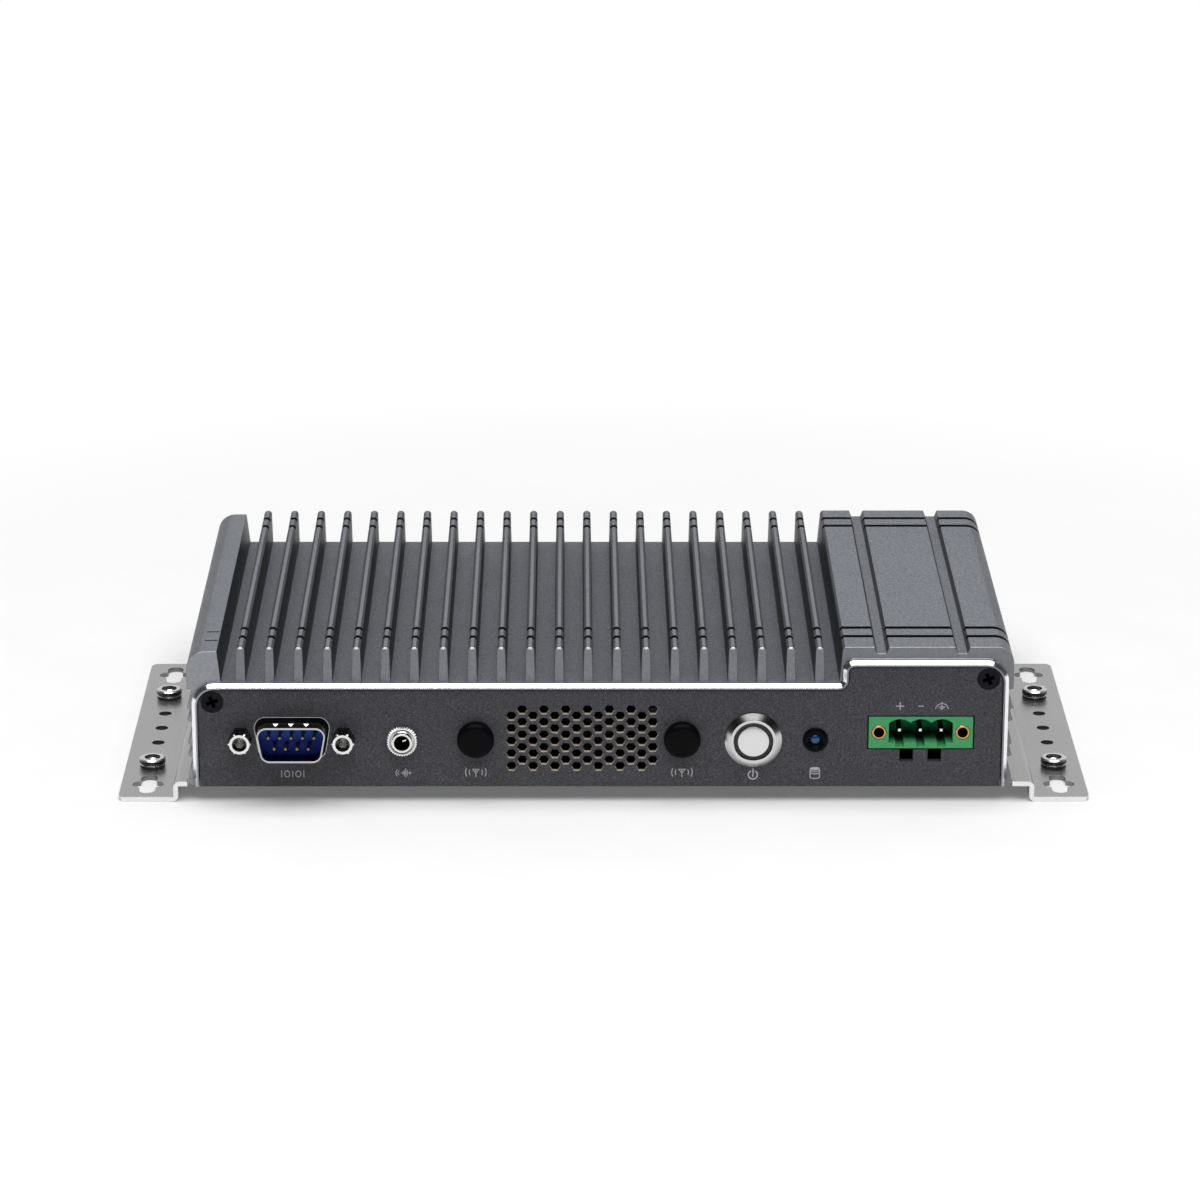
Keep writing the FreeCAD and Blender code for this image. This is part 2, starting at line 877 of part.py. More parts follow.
def board_standoffs():
    """Hexagonal spacers under the board, screwed through it into the housing."""
    spacers = []
    bore_diameter = board_screw_diameter + 2 * fit
    for x, y in standoff_places():
        body = prism_z(x, y, standoff_flats, seat_z, board_bottom, 6)
        stud_end = board_top + screw_length - screw_tip_gap
        stud = prism_z(x, y, screw_diameter, board_bottom, stud_end, hidden_sides)
        bore = prism_z(x, y, bore_diameter, seat_z, board_bottom - standoff_bore_roof, hidden_sides)
        spacers.append(body.fuse(stud).removeSplitter().cut(bore))
    return Part.makeCompound(spacers)


def panel_screw(x, z, face_y, direction):
    """Countersunk screw with its head flush in the panel."""
    head = screw_head / 2
    shank = screw_diameter / 2
    seat_y = face_y + direction * (head - shank)
    tip_y = face_y + direction * (panel_thickness + screw_length - screw_tip_gap)
    cone = turned_y(x, z, [(0, face_y), (head, face_y), (shank, seat_y), (0, seat_y)], fastener_sides)
    y0, y1 = sorted((seat_y, tip_y))
    return cone.fuse(prism_y(x, z, screw_diameter, y0, y1, hidden_sides)).removeSplitter()


def main_board():
    front = panel_thickness + board_front_gap
    rear = depth - panel_thickness - board_rear_gap
    plate = box(-board_x, board_x, front, rear, board_bottom, board_top)
    hole = screw_diameter + hole_clearance
    above = board_top + past
    return plate.cut([prism_z(x, y, hole, 0.0, above, hidden_sides) for x, y in standoff_places()])


def serial_inside(gap):
    """D-shaped outline inside the serial port's shell, smaller by a gap."""
    shrink = 2 * (serial_wall + gap)
    corner = serial_corner - serial_wall
    return d_outline(serial_x, ports_z, serial_width - shrink, serial_tall - shrink, corner)


def serial_shell():
    """Drawn steel shell of the nine-pin port, with its fixing flange behind the panel."""
    flange_y = panel_thickness
    flange_back = flange_y + serial_wall
    outer = d_outline(serial_x, ports_z, serial_width, serial_tall, serial_corner)
    tube = along_y(outer, -serial_reach, flange_back)
    half = serial_flange_width / 2
    low = ports_z - serial_flange_tall / 2
    high = ports_z + serial_flange_tall / 2
    plate = box(serial_x - half, serial_x + half, flange_y, flange_back, low, high)
    cuts = [along_y(serial_inside(0.0), -serial_reach - past, flange_back + past)]
    hole = screw_diameter + hole_clearance
    for x in jackscrew_places():
        cuts.append(prism_y(x, ports_z, hole, flange_y - past, flange_back + past, hidden_sides))
    return union([tube, plate]).cut(cuts)


def serial_pin_places():
    """Five pins above, four below."""
    places = []
    for row, count in ((0.5, 5), (-0.5, 4)):
        for index in range(count):
            x = serial_x + (index - (count - 1) / 2) * pin_pitch
            places.append((x, ports_z + row * pin_row_pitch))
    return places


def serial_insulator():
    """Blue insulator: a face plate in the shell and the block on the board behind it."""
    back = panel_thickness + serial_wall
    core = along_y(serial_inside(fit), 0.0, back)
    half = serial_block_width / 2
    top = ports_z + serial_flange_tall / 2
    rear = box(serial_x - half, serial_x + half, back, back + serial_block_depth, board_top, top)
    pins = []
    for x, z in serial_pin_places():
        pins.append(prism_y(x, z, pin_diameter, -past, back + pin_root, hidden_sides))
    return union([core, rear]).cut(pins)


def serial_pins():
    tip = -serial_reach + pin_setback
    root = panel_thickness + serial_wall + pin_root
    radius = pin_diameter / 2
    profile = [(0, tip), (radius - pin_tip, tip), (radius, tip + pin_tip), (radius, root), (0, root)]
    return Part.makeCompound([turned_y(x, z, profile, hidden_sides) for x, z in serial_pin_places()])


def serial_jackscrews():
    """Hexagonal jackscrews with threaded mouths."""
    screws = []
    shank_end = panel_thickness + serial_wall + jackscrew_shank
    for x in jackscrew_places():
        head = prism_y(x, ports_z, jackscrew_flats, -jackscrew_length, 0.0, 6, math.pi / 6)
        shank = prism_y(x, ports_z, screw_diameter, 0.0, shank_end, fastener_sides)
        bore = rod_y(x, ports_z, jackscrew_bore, -jackscrew_length, 0.0)
        screws.append(head.fuse(shank).removeSplitter().cut(bore))
    return Part.makeCompound(screws)


def audio_sleeve_piece():
    """Threaded metal sleeve of the audio socket, narrower in front of its nut."""
    front = -audio_sleeve_reach
    step = -audio_nut_height
    back = panel_thickness + audio_back
    radius = audio_sleeve / 2
    collar = radius - audio_thread_step
    profile = [
        (0, front), (collar, front), (collar, step), (radius, step + audio_thread_step),
        (radius, back), (0, back),
    ]
    bore = rod_y(audio_x, audio_z, audio_bore, front, back)
    return turned_y(audio_x, audio_z, profile, small_sides).cut(bore)


def audio_nut_piece():
    """Round nut with flats, whose hole fits the sleeve."""
    nut = prism_y(audio_x, audio_z, audio_nut, -audio_nut_height, 0.0, small_sides)
    return nut.cut(prism_y(audio_x, audio_z, audio_sleeve, -audio_nut_height, 0.0, small_sides))


def audio_body():
    """Plastic body of the audio socket, standing on the board."""
    front = panel_thickness + audio_back
    rear = front + audio_body_depth
    half = audio_body_width / 2
    body = box(audio_x - half, audio_x + half, front, rear, board_top, audio_z + half)
    return body.cut(rod_y(audio_x, audio_z, audio_bore, front, rear - audio_bore_end))


def antenna_plug(x):
    """Domed plug that snaps into an unused antenna hole."""
    top = -antenna_cap_height
    edge = antenna_cap / 2
    back = panel_thickness + fit
    neck = antenna_hole / 2 - fit
    cap = turned_y(x, antenna_z, [
        (0, top), (antenna_crown, top + antenna_crown_drop / 4),
        (edge - antenna_edge, top + antenna_crown_drop), (edge - antenna_edge / 4, top + antenna_edge),
        (edge, top + 2 * antenna_edge), (edge, 0.0), (0, 0.0)],
        small_sides)
    snap_end = back + antenna_snap_length
    stem = turned_y(x, antenna_z, [
        (0, 0.0), (neck, 0.0), (neck, back), (antenna_snap / 2, back), (neck, snap_end), (0, snap_end)],
        fastener_sides)
    return cap.fuse(stem).removeSplitter()


def button_body():
    """Steel bezel and threaded barrel of the power button."""
    bore = button_ring / 2 + running_gap
    guide = button_plunger / 2 + running_gap
    floor = button_ring_length + button_travel + button_end_gap
    profile = [
        (bore, -button_bezel_height), (button_bezel_top / 2, -button_bezel_height),
        (button_bezel / 2, -button_bezel_lip), (button_bezel / 2, 0.0), (button_barrel / 2, 0.0),
        (button_barrel / 2, button_barrel_length), (guide, button_barrel_length),
        (guide, floor), (bore, floor),
    ]
    return turned_y(button_x, button_z, profile, large_sides)


def button_nut():
    y0 = panel_thickness
    y1 = y0 + button_nut_height
    nut = prism_y(button_x, button_z, button_nut_flats, y0, y1, 6, math.pi / 6)
    return nut.cut(prism_y(button_x, button_z, button_barrel, y0, y1, large_sides))


def button_cap_piece():
    """Brushed disc with its collar and plunger."""
    top = -button_bezel_height + button_cap_sink
    collar = button_ring_length - button_collar
    end = button_barrel_length - button_travel - button_plunger_gap
    profile = [
        (0, top - button_cap_dome), (button_cap / 2 - button_cap_edge, top - button_cap_dome),
        (button_cap / 2, top), (button_cap / 2, collar), (button_ring / 2, collar),
        (button_ring / 2, button_ring_length), (button_plunger / 2, button_ring_length),
        (button_plunger / 2, end), (0, end),
    ]
    return turned_y(button_x, button_z, profile, large_sides)


def button_light_ring():
    """Light ring round the disc, seated on the collar."""
    inner = button_cap / 2 + glue_gap
    top = -button_bezel_height + button_ring_sink
    collar = button_ring_length - button_collar
    profile = [(inner, top), (button_ring / 2, top), (button_ring / 2, collar), (inner, collar)]
    return turned_y(button_x, button_z, profile, large_sides)


def lamp_holder_piece():
    """Black ring on the panel with its barrel behind it."""
    end = panel_thickness + lamp_holder_length
    bore = lamp_lens / 2 + glue_gap
    outer = lamp_holder / 2
    barrel = lamp_barrel / 2
    top = -lamp_holder_height
    profile = [
        (bore, 0.0), (outer - lamp_holder_rim, top), (outer, top + lamp_holder_bevel), (outer, 0.0),
        (barrel, 0.0), (barrel, end), (bore, end),
    ]
    return turned_y(lamp_x, lamp_z, profile, small_sides)


def lamp_lens_piece():
    """Round-nosed lens in the lamp holder."""
    radius = lamp_lens / 2
    end = panel_thickness + lamp_lens_length
    profile = [
        (0, -lamp_nose), (radius - lamp_nose_edge, -lamp_nose), (radius, lamp_nose_edge - lamp_nose),
        (radius, end), (0, end),
    ]
    return turned_y(lamp_x, lamp_z, profile, small_sides)


def supply_pin_places():
    return [supply_x + step * supply_pitch for step in (-1, 0, 1)]


def supply_insert_places():
    return [supply_x - supply_flange_spacing / 2, supply_x + supply_flange_spacing / 2]


def supply_housing():
    """Green three-way header: scalloped cavity above, keyways below, feet on the board."""
    left = supply_x - supply_width / 2
    low = supply_z - supply_tall / 2
    high = low + supply_tall
    body = box(left, left + supply_width, 0.0, supply_depth, low, high)
    foot_front = panel_thickness + supply_foot_setback
    feet = []
    for foot_left in (left, left + supply_width - supply_foot_width):
        feet.append(box(foot_left, foot_left + supply_foot_width, foot_front, supply_depth, board_top, low))
    half = supply_cavity_width / 2
    cavity_low = low + supply_floor
    cavity_high = high - supply_shoulder
    room = box(supply_x - half, supply_x + half, -past, supply_cavity_depth, cavity_low, high)
    cuts = [box(supply_x - half, supply_x + half, -past, supply_cavity_depth, cavity_low, cavity_high)]
    scallop_z = high - supply_scallop_roof - supply_scallop_radius
    key_low = cavity_low - supply_key_depth
    key_half = supply_key_width / 2
    pin_half = supply_pin / 2
    for x in supply_pin_places():
        scallop = prism_y(x, scallop_z, 2 * supply_scallop_radius, -past, supply_cavity_depth, small_sides)
        cuts.append(scallop.common(room))
        cuts.append(box(x - key_half, x + key_half, -past, supply_cavity_depth, key_low, cavity_low + fit))
        cuts.append(box(
            x - pin_half, x + pin_half, supply_cavity_depth - past, supply_depth + past,
            supply_z - pin_half, supply_z + pin_half))
    for x in supply_insert_places():
        cuts.append(prism_y(x, supply_z, supply_insert, 0.0, supply_insert_length, fastener_sides))
    return union([body] + feet).cut(cuts)


def supply_pins():
    """Square pins that turn down into the board behind the header."""
    half = supply_pin / 2
    end = supply_depth + supply_pin_end
    low = supply_z - half
    high = supply_z + half
    pins = []
    for x in supply_pin_places():
        outline = [
            (supply_pin_setback, low), (supply_pin_setback, high), (end, high), (end, board_top),
            (end - supply_pin, board_top), (end - supply_pin, low),
        ]
        pins.append(along_x(outline, x - half, x + half))
    return Part.makeCompound(pins)


def supply_inserts():
    inserts = []
    for x in supply_insert_places():
        tube = prism_y(x, supply_z, supply_insert, 0.0, supply_insert_length, fastener_sides)
        bore_end = supply_insert_length - supply_insert_floor
        inserts.append(tube.cut(rod_y(x, supply_z, supply_insert_bore, 0.0, bore_end)))
    return Part.makeCompound(inserts)


def network_shield(x):
    """Folded steel can of a network socket, open at its mouth."""
    y0 = sockets_y - network_depth
    half = network_width / 2
    top = board_top + network_tall
    can = box(x - half, x + half, y0, sockets_y, board_top, top)
    inner = half - shield
    room = box(x - inner, x + inner, y0 + shield, sockets_y + past, board_top + shield, top - shield)
    return can.cut(room)


def network_mouth(x):
    """Space for the plug and its latch."""
    y0 = sockets_y - network_plug_depth
    y1 = sockets_y + past
    low = board_top + network_floor
    half = network_plug_width / 2
    latch_half = network_latch_width / 2
    plug = box(x - half, x + half, y0, y1, low, low + network_plug_tall)
    return plug.fuse(box(x - latch_half, x + latch_half, y0, y1, low - network_latch_tall, low))


def network_insert(x):
    gap = shield + fit
    half = network_width / 2 - gap
    y0 = sockets_y - network_depth + gap
    y1 = sockets_y - network_insert_sink
    body = box(x - half, x + half, y0, y1, board_top + gap, board_top + network_tall - gap)
    return body.cut(network_mouth(x))


def network_contact_set(x):
    """Sprung contacts under the roof of the mouth."""
    top = board_top + network_floor + network_plug_tall
    rear = sockets_y - network_plug_depth
    low, high = network_contact_drop
    bend, end = network_contact_front
    outline = [(rear, top - low), (rear, top - high), (sockets_y - bend, top), (sockets_y - end, top)]
    half = network_contact_width / 2
    wires = []
    for index in range(network_contacts):
        wire_x = x + (index - (network_contacts - 1) / 2) * network_contact_pitch
        wires.append(along_x(outline, wire_x - half, wire_x + half))
    return wires


def usb_mouths():
    """Heights of the two mouths of a stacked socket."""
    middle = board_top + usb_tall / 2
    return [middle - usb_mouth_spacing / 2, middle + usb_mouth_spacing / 2]


def usb_shield(x):
    half = usb_width / 2
    body = box(x - half, x + half, sockets_y - usb_depth, sockets_y, board_top, board_top + usb_tall)
    mouth = usb_mouth_width / 2
    rear = sockets_y - usb_mouth_depth
    cuts = []
    for z in usb_mouths():
        low = z - usb_mouth_tall / 2
        cuts.append(box(x - mouth, x + mouth, rear, sockets_y + past, low, low + usb_mouth_tall))
    return body.cut(cuts)


def usb_tongues(x):
    """Plastic tongues, set back behind the mouths."""
    half = usb_mouth_width / 2 - usb_tongue_inset
    rear = sockets_y - usb_mouth_depth
    front = sockets_y - usb_tongue_setback
    tongues = []
    for z in usb_mouths():
        low = z - usb_tongue_drop
        tongues.append(box(x - half, x + half, rear, front, low, low + usb_tongue))
    return tongues


def display_outline(grow):
    half = display_width / 2 + grow
    low = board_top - grow
    high = board_top + display_tall + grow
    slope = display_corner
    return [
        (display_x - half + slope, low), (display_x - half, low + slope),
        (display_x - half, high), (display_x + half, high),
        (display_x + half, low + slope), (display_x + half - slope, low),
    ]


def display_shield():
    y0 = sockets_y - display_depth
    room = along_y(display_outline(-display_wall), y0 + display_floor, sockets_y + past)
    return along_y(display_outline(0.0), y0, sockets_y).cut(room)


def display_tongue():
    half = display_tongue_width / 2
    middle = board_top + display_tall / 2
    return box(
        display_x - half, display_x + half, sockets_y - display_depth + display_floor,
        sockets_y - display_floor, middle, middle + display_tongue_tall)


def processor():
    substrate_top = board_top + processor_substrate
    substrate = block(
        processor_x, processor_y, board_top, processor_width, processor_length, processor_substrate)
    die = block(processor_x, processor_y, substrate_top, die_width, die_length, die_height)
    return union([substrate, die])


def thermal_pad():
    width = die_width + 2 * pad_overhang
    return block(processor_x, processor_y, die_top, width, die_length + 2 * pad_overhang, pad_height)


def heat_block():
    """Aluminium spreader that joins the processor to the roof of the housing."""
    low = die_top + pad_height
    waist = block(processor_x, processor_y, low, heat_block_waist, heat_block_waist, low_ceiling - low)
    flange_low = low_ceiling - heat_block_flange
    flange = block(
        processor_x, processor_y, flange_low, heat_block_size, heat_block_size, heat_block_flange)
    return union([waist, flange])


def memory_socket():
    """Edge socket with two spring arms that hold the module by its sides."""
    seat = memory_rear - memory_bar_overlap
    left = memory_x - memory_width / 2 - memory_side_gap - memory_arm
    right = memory_x + memory_width / 2 + memory_side_gap + memory_arm
    bar = box(left, right, seat, seat + memory_bar_length, board_top, board_top + memory_bar_height)
    arms = []
    for arm_left in (left, right - memory_arm):
        arms.append(box(
            arm_left, arm_left + memory_arm, memory_rear - memory_length, seat,
            board_top, board_top + memory_arm_height))
    slot_low = board_top + memory_lift
    half = memory_width / 2
    slot = box(
        memory_x - half, memory_x + half, seat - past, memory_rear, slot_low, slot_low + memory_thickness)
    return union([bar] + arms).cut(slot)


def memory_module():
    """Small memory board with a row of chips on top."""
    low = board_top + memory_lift
    card = block(memory_x, memory_y, low, memory_width, memory_length, memory_thickness)
    chips = []
    for index in range(memory_chips):
        x = memory_x + (index - (memory_chips - 1) / 2) * memory_chip_pitch
        y = memory_y - memory_chip_shift
        chips.append(block(
            x, y, low + memory_thickness, memory_chip_width, memory_chip_length, chip_height))
    return union([card] + chips)


def storage_socket():
    rear = storage_y + storage_length / 2
    bar = block(storage_x, rear, board_top, storage_width, storage_bar_length, storage_bar_height)
    slot_low = board_top + storage_lift
    slot = box(
        storage_x - storage_width, storage_x + storage_width, rear - storage_bar_length, rear,
        slot_low, slot_low + storage_thickness)
    return bar.cut(slot)


def storage_card():
    low = board_top + storage_lift
    top = low + storage_thickness
    card = block(storage_x, storage_y, low, storage_width, storage_length, storage_thickness)
    chips = []
    for place in storage_chip_places:
        chips.append(block(
            storage_x, storage_y + place, top, storage_chip_width, storage_chip_length, chip_height))
    free_end = storage_y - storage_length / 2
    notch = prism_z(storage_x, free_end, storage_notch, low - past, top + past, hidden_sides)
    return union([card] + chips).cut(notch)


def storage_post():
    """Spacer and screw at the free end of the storage card."""
    y = storage_y - storage_length / 2
    low = board_top + storage_lift
    top = low + storage_thickness
    post = prism_z(storage_x, y, storage_post_head, board_top, low, hidden_sides)
    neck = prism_z(storage_x, y, storage_post_neck, low, top, hidden_sides)
    head = prism_z(storage_x, y, storage_post_head, top, top + storage_post_cap, hidden_sides)
    return union([post, neck, head])


def battery_holder():
    outer = battery_diameter + 2 * battery_holder_wall
    top = board_top + battery_holder_height
    ring = prism_z(battery_x, battery_y, outer, board_top, top, small_sides)
    room = prism_z(
        battery_x, battery_y, battery_diameter + 2 * fit, board_top + battery_holder_floor, top + past,
        small_sides)
    return ring.cut(room)


def battery_cell():
    low = board_top + battery_holder_floor
    return prism_z(battery_x, battery_y, battery_diameter, low, low + battery_height, small_sides)


def power_coils():
    coils = []
    for index in range(pair):
        x = coil_x + index * coil_spacing
        coils.append(block(x, coil_y, board_top, coil_size, coil_size, coil_height))
    return Part.makeCompound(coils)


def power_capacitors():
    """Round capacitors under the raised part of the housing."""
    top = board_top + capacitor_height
    cans = []
    for column in range(pair):
        for row in range(pair):
            x = capacitor_x + column * capacitor_spacing
            y = capacitor_y + row * capacitor_spacing
            cans.append(prism_z(x, y, capacitor_diameter, board_top, top, fastener_sides))
    return Part.makeCompound(cans)


parts = {
    "heatsink_cover": heatsink_cover(),
    "front_panel": front_panel(),
    "rear_panel": rear_panel(),
    "bottom_cover": bottom_cover(),
    "bracket_left": bracket(-1),
    "bracket_right": bracket(1),
    "clinch_nuts": clinch_nuts(),
    "bracket_screws": bracket_screws(),
    "bottom_screws": bottom_screws(),
    "front_screws": Part.makeCompound([panel_screw(x, z, 0.0, 1) for x, z in panel_screws]),
    "rear_screws": Part.makeCompound([panel_screw(x, z, depth, -1) for x, z in panel_screws]),
    "board_standoffs": board_standoffs(),
    "main_board": main_board(),
    "serial_shell": serial_shell(),
    "serial_insulator": serial_insulator(),
    "serial_pins": serial_pins(),
    "serial_jackscrews": serial_jackscrews(),
    "audio_sleeve": audio_sleeve_piece(),
    "audio_nut": audio_nut_piece(),
    "audio_body": audio_body(),
    "antenna_plug_left": antenna_plug(antenna_x[0]),
    "antenna_plug_right": antenna_plug(antenna_x[1]),
    "button_body": button_body(),
    "button_nut": button_nut(),
    "button_cap": button_cap_piece(),
    "button_light_ring": button_light_ring(),
    "lamp_holder": lamp_holder_piece(),
    "lamp_lens": lamp_lens_piece(),
    "supply_housing": supply_housing(),
    "supply_pins": supply_pins(),
    "supply_inserts": supply_inserts(),
    "network_shield_left": network_shield(network_x[0]),
    "network_shield_right": network_shield(network_x[1]),
    "network_insert_left": network_insert(network_x[0]),
    "network_insert_right": network_insert(network_x[1]),
    "network_contacts": Part.makeCompound([wire for x in network_x for wire in network_contact_set(x)]),
    "usb_shield_left": usb_shield(usb_x[0]),
    "usb_shield_right": usb_shield(usb_x[1]),
    "usb_tongues": Part.makeCompound([tongue for x in usb_x for tongue in usb_tongues(x)]),
    "display_shield": display_shield(),
    "display_tongue": display_tongue(),
    "processor": processor(),
    "thermal_pad": thermal_pad(),
    "heat_block": heat_block(),
    "memory_socket": memory_socket(),
    "memory_module": memory_module(),
    "storage_socket": storage_socket(),
    "storage_card": storage_card(),
    "storage_post": storage_post(),
    "battery_holder": battery_holder(),
    "battery_cell": battery_cell(),
    "power_coils": power_coils(),
    "power_capacitors": power_capacitors(),
}

# The origin moves to the centre of the four wall slots, on the mounting plane
to_origin = Vector(-bracket_shift, -bracket_middle_y, 0.0)
os.makedirs("parts", exist_ok=True)
for name, shape in parts.items():
    shape.translate(to_origin)
    shape.exportStep(os.path.join("parts", name + ".step"))
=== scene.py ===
import json
import math

import bmesh
import bpy
from mathutils import Matrix, Vector
from mathutils.geometry import convex_hull_2d


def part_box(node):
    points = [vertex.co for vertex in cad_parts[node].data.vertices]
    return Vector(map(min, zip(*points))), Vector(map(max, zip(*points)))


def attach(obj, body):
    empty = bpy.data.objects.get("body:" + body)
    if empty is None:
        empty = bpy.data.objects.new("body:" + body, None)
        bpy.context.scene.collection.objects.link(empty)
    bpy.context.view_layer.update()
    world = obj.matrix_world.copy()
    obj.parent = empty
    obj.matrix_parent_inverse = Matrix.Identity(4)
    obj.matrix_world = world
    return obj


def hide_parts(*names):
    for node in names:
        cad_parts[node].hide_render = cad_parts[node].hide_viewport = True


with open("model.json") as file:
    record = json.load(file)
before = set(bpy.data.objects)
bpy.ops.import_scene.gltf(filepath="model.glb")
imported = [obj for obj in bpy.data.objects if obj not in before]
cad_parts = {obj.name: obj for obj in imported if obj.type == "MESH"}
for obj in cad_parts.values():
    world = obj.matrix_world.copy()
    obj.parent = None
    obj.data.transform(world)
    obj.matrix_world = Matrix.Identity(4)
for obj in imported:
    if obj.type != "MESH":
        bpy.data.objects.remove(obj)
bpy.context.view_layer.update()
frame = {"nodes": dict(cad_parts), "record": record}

# Looks of the fanless computer: studio, materials, turned and printed details.
# Metres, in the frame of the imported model. Detail sizes are written in millimetres.
MM = 0.001
nodes = frame["nodes"]
panel_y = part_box("front_panel")[0].y
rear_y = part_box("rear_panel")[1].y
cast_low, cast_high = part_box("heatsink_cover")

# Casting: where the cheek ends, where the fins and their flanks lie, heights, and its sloped front ends
cheek_edge = cast_low.x + 8.4 * MM
fins_start = cast_low.x + 9.0 * MM
fins_end = cast_high.x - 42.0 * MM
flanks_start = cast_low.x + 6.5 * MM
flanks_end = cast_high.x - 4.5 * MM
fin_foot = cast_high.z - 8.7 * MM
crest_height = cast_high.z - 1.3 * MM
tip_height = cast_high.z - 0.5 * MM
end_edge_height = fin_foot + 3.5 * MM
end_setback = 1.3 * MM
end_slope = 0.1
end_bevel_depth = 1.0 * MM

# Painted light on the casting: more on the crests, less on the flanks and the outer curves; widths of its
# worn edges, whose bright bare metal also paints their highlight
crest_gain = 0.20
flank_loss = 0.62
curve_loss = 0.30
worn_tip_highlight = 0.35 * MM
worn_line_highlight = 0.18 * MM

# Crosswise notches over the fins and the block: rows from the front and from the rear, half width, floors
notch_rows = [panel_y + row * MM for row in (10.6, 17.1)] + [rear_y - row * MM for row in (7.2, 13.8)]
notch_half = 0.95 * MM
notch_floor = cast_high.z - 1.2 * MM
notch_side_floor = cast_high.z - 5.0 * MM
notch_side = cast_high.x - 5.0 * MM

# Short marks on the cheek, in line with the two front notches
mark_half = 0.36 * MM
mark_start = cast_low.x + 4.0 * MM
mark_length = 3.2 * MM
mark_height = fin_foot + 6.0 * MM

# Vent field in the panel: from left to right, from below to above, and how deep its walls are lit
vent_across = (-25.5 * MM, 14.5 * MM)
vent_upright = (7.0 * MM, 26.5 * MM)
vent_lit_depth = 1.2 * MM

# Grain of the surfaces: scale per metre and heights
fine_grain = 2600.0
grain_depth = 0.01 * MM
polish_depth = 0.004 * MM
coat_depth = 0.02 * MM

# Camera: place, lens, sensor and the three angles of the photo's view
camera_place = Vector((-0.007807, -1.123799, 0.408411))
camera_lens = 141.0
camera_sensor = 36.0
camera_near = 0.05
camera_tilt_down = 18.36
camera_turn = -0.36
camera_roll = 0.113

# Points in a full circle: round pieces in view, the button, the knurled nut, screws and thin pins
round_points = 96
button_points = 128
knurl_points = 288
screw_points = 48
pin_points = 24

# Cross recess of the screws, in millimetres, and the share of it that its floor keeps
recess_reach = 1.5
recess_width = 0.9
recess_depth = 1.1
recess_floor = 0.6

# Radius of the flat that closes a turned form on its axis, and thickness of the printed paint
axis_flat = 0.02
paint_lift = 0.02 * MM


def centre(name):
    low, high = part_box(name)
    return (low + high) / 2


def node(tree, kind, inputs=None, **properties):
    """New shader node; a socket given as an input is linked, anything else is set."""
    made = tree.nodes.new(kind)
    for key, value in properties.items():
        setattr(made, key, value)
    for key, value in (inputs or {}).items():
        if isinstance(value, bpy.types.NodeSocket):
            tree.links.new(value, made.inputs[key])
        else:
            made.inputs[key].default_value = value
    return made


def new_material(name):
    made = bpy.data.materials.new(name)
    made.use_nodes = True
    tree = made.node_tree
    tree.nodes.clear()
    return made, tree


def place_of(tree):
    return node(tree, "ShaderNodeTexCoord").outputs["Object"]


def place_xyz(tree):
    """Place on the object, by axis."""
    return node(tree, "ShaderNodeSeparateXYZ", {0: place_of(tree)}).outputs


def face_xyz(tree):
    """Direction of the face, by axis."""
    normal = node(tree, "ShaderNodeNewGeometry").outputs["True Normal"]
    return node(tree, "ShaderNodeSeparateXYZ", {0: normal}).outputs


def noise(tree, scale, stretch=None, detail=3.0):
    """Noise of a given scale per metre, stretched along axes by dividing their scale."""
    place = place_of(tree)
    if stretch:
        place = node(tree, "ShaderNodeMapping", {"Vector": place, "Scale": stretch}).outputs["Vector"]
    made = node(tree, "ShaderNodeTexNoise", {"Vector": place, "Scale": scale, "Detail": detail})
    return made.outputs["Fac"]


def ramp(tree, factor, stops):
    """Colour ramp from (place, grey or colour) stops."""
    made = node(tree, "ShaderNodeValToRGB", {"Fac": factor})
    elements = made.color_ramp.elements
    while len(elements) < len(stops):
        elements.new(0.5)
    for element, (place, value) in zip(elements, stops):
        element.position = place
        element.color = (value, value, value, 1) if isinstance(value, float) else (*value, 1)
    return made.outputs["Color"]


def cloudy(tree, factor, low, high):
    """Grey or colour that goes from low to high over the middle range of a noise."""
    return ramp(tree, factor, [(0.3, low), (0.7, high)])


def mix(tree, factor, a, b):
    made = tree.nodes.new("ShaderNodeMix")
    made.data_type = "RGBA"
    for index, value in ((0, factor), (6, a), (7, b)):
        if isinstance(value, bpy.types.NodeSocket):
            tree.links.new(value, made.inputs[index])
        elif index:
            made.inputs[index].default_value = (*value, 1)
        else:
            made.inputs[index].default_value = value
    return made.outputs[2]


def tinted(tree, colour, shade):
    """Product of two colours."""
    return node(tree, "ShaderNodeVectorMath", {0: colour, 1: shade}, operation="MULTIPLY").outputs[0]


def grey(value):
    return (value, value, value)


def calc(tree, operation, a, b=None, c=None):
    values = {index: value for index, value in enumerate((a, b, c)) if value is not None}
    return node(tree, "ShaderNodeMath", values, operation=operation).outputs[0]


def size_of(tree, value):
    return calc(tree, "ABSOLUTE", value)


def over(tree, value, limit):
    return calc(tree, "GREATER_THAN", value, limit)


def under(tree, value, limit):
    return calc(tree, "LESS_THAN", value, limit)


def both(tree, *masks):
    """1 where every mask is 1."""
    joined = masks[0]
    for mask in masks[1:]:
        joined = calc(tree, "MULTIPLY", joined, mask)
    return joined


def either(tree, *masks):
    """1 where any mask is 1."""
    joined = masks[0]
    for mask in masks[1:]:
        joined = calc(tree, "MAXIMUM", joined, mask)
    return joined


def outside_of(tree, mask):
    return calc(tree, "SUBTRACT", 1.0, mask)


def between(tree, value, low, high):
    """1 where value lies from low to high."""
    return both(tree, over(tree, value, low), under(tree, value, high))


def bump(tree, height, depth, bevel=0.0):
    """Normal from a height in metres, on edges that look softened by bevel."""
    inputs = {"Height": height, "Distance": depth, "Strength": 1.0}
    if bevel:
        soft = node(tree, "ShaderNodeBevel", {"Radius": bevel}, samples=6)
        inputs["Normal"] = soft.outputs["Normal"]
    return node(tree, "ShaderNodeBump", inputs).outputs["Normal"]


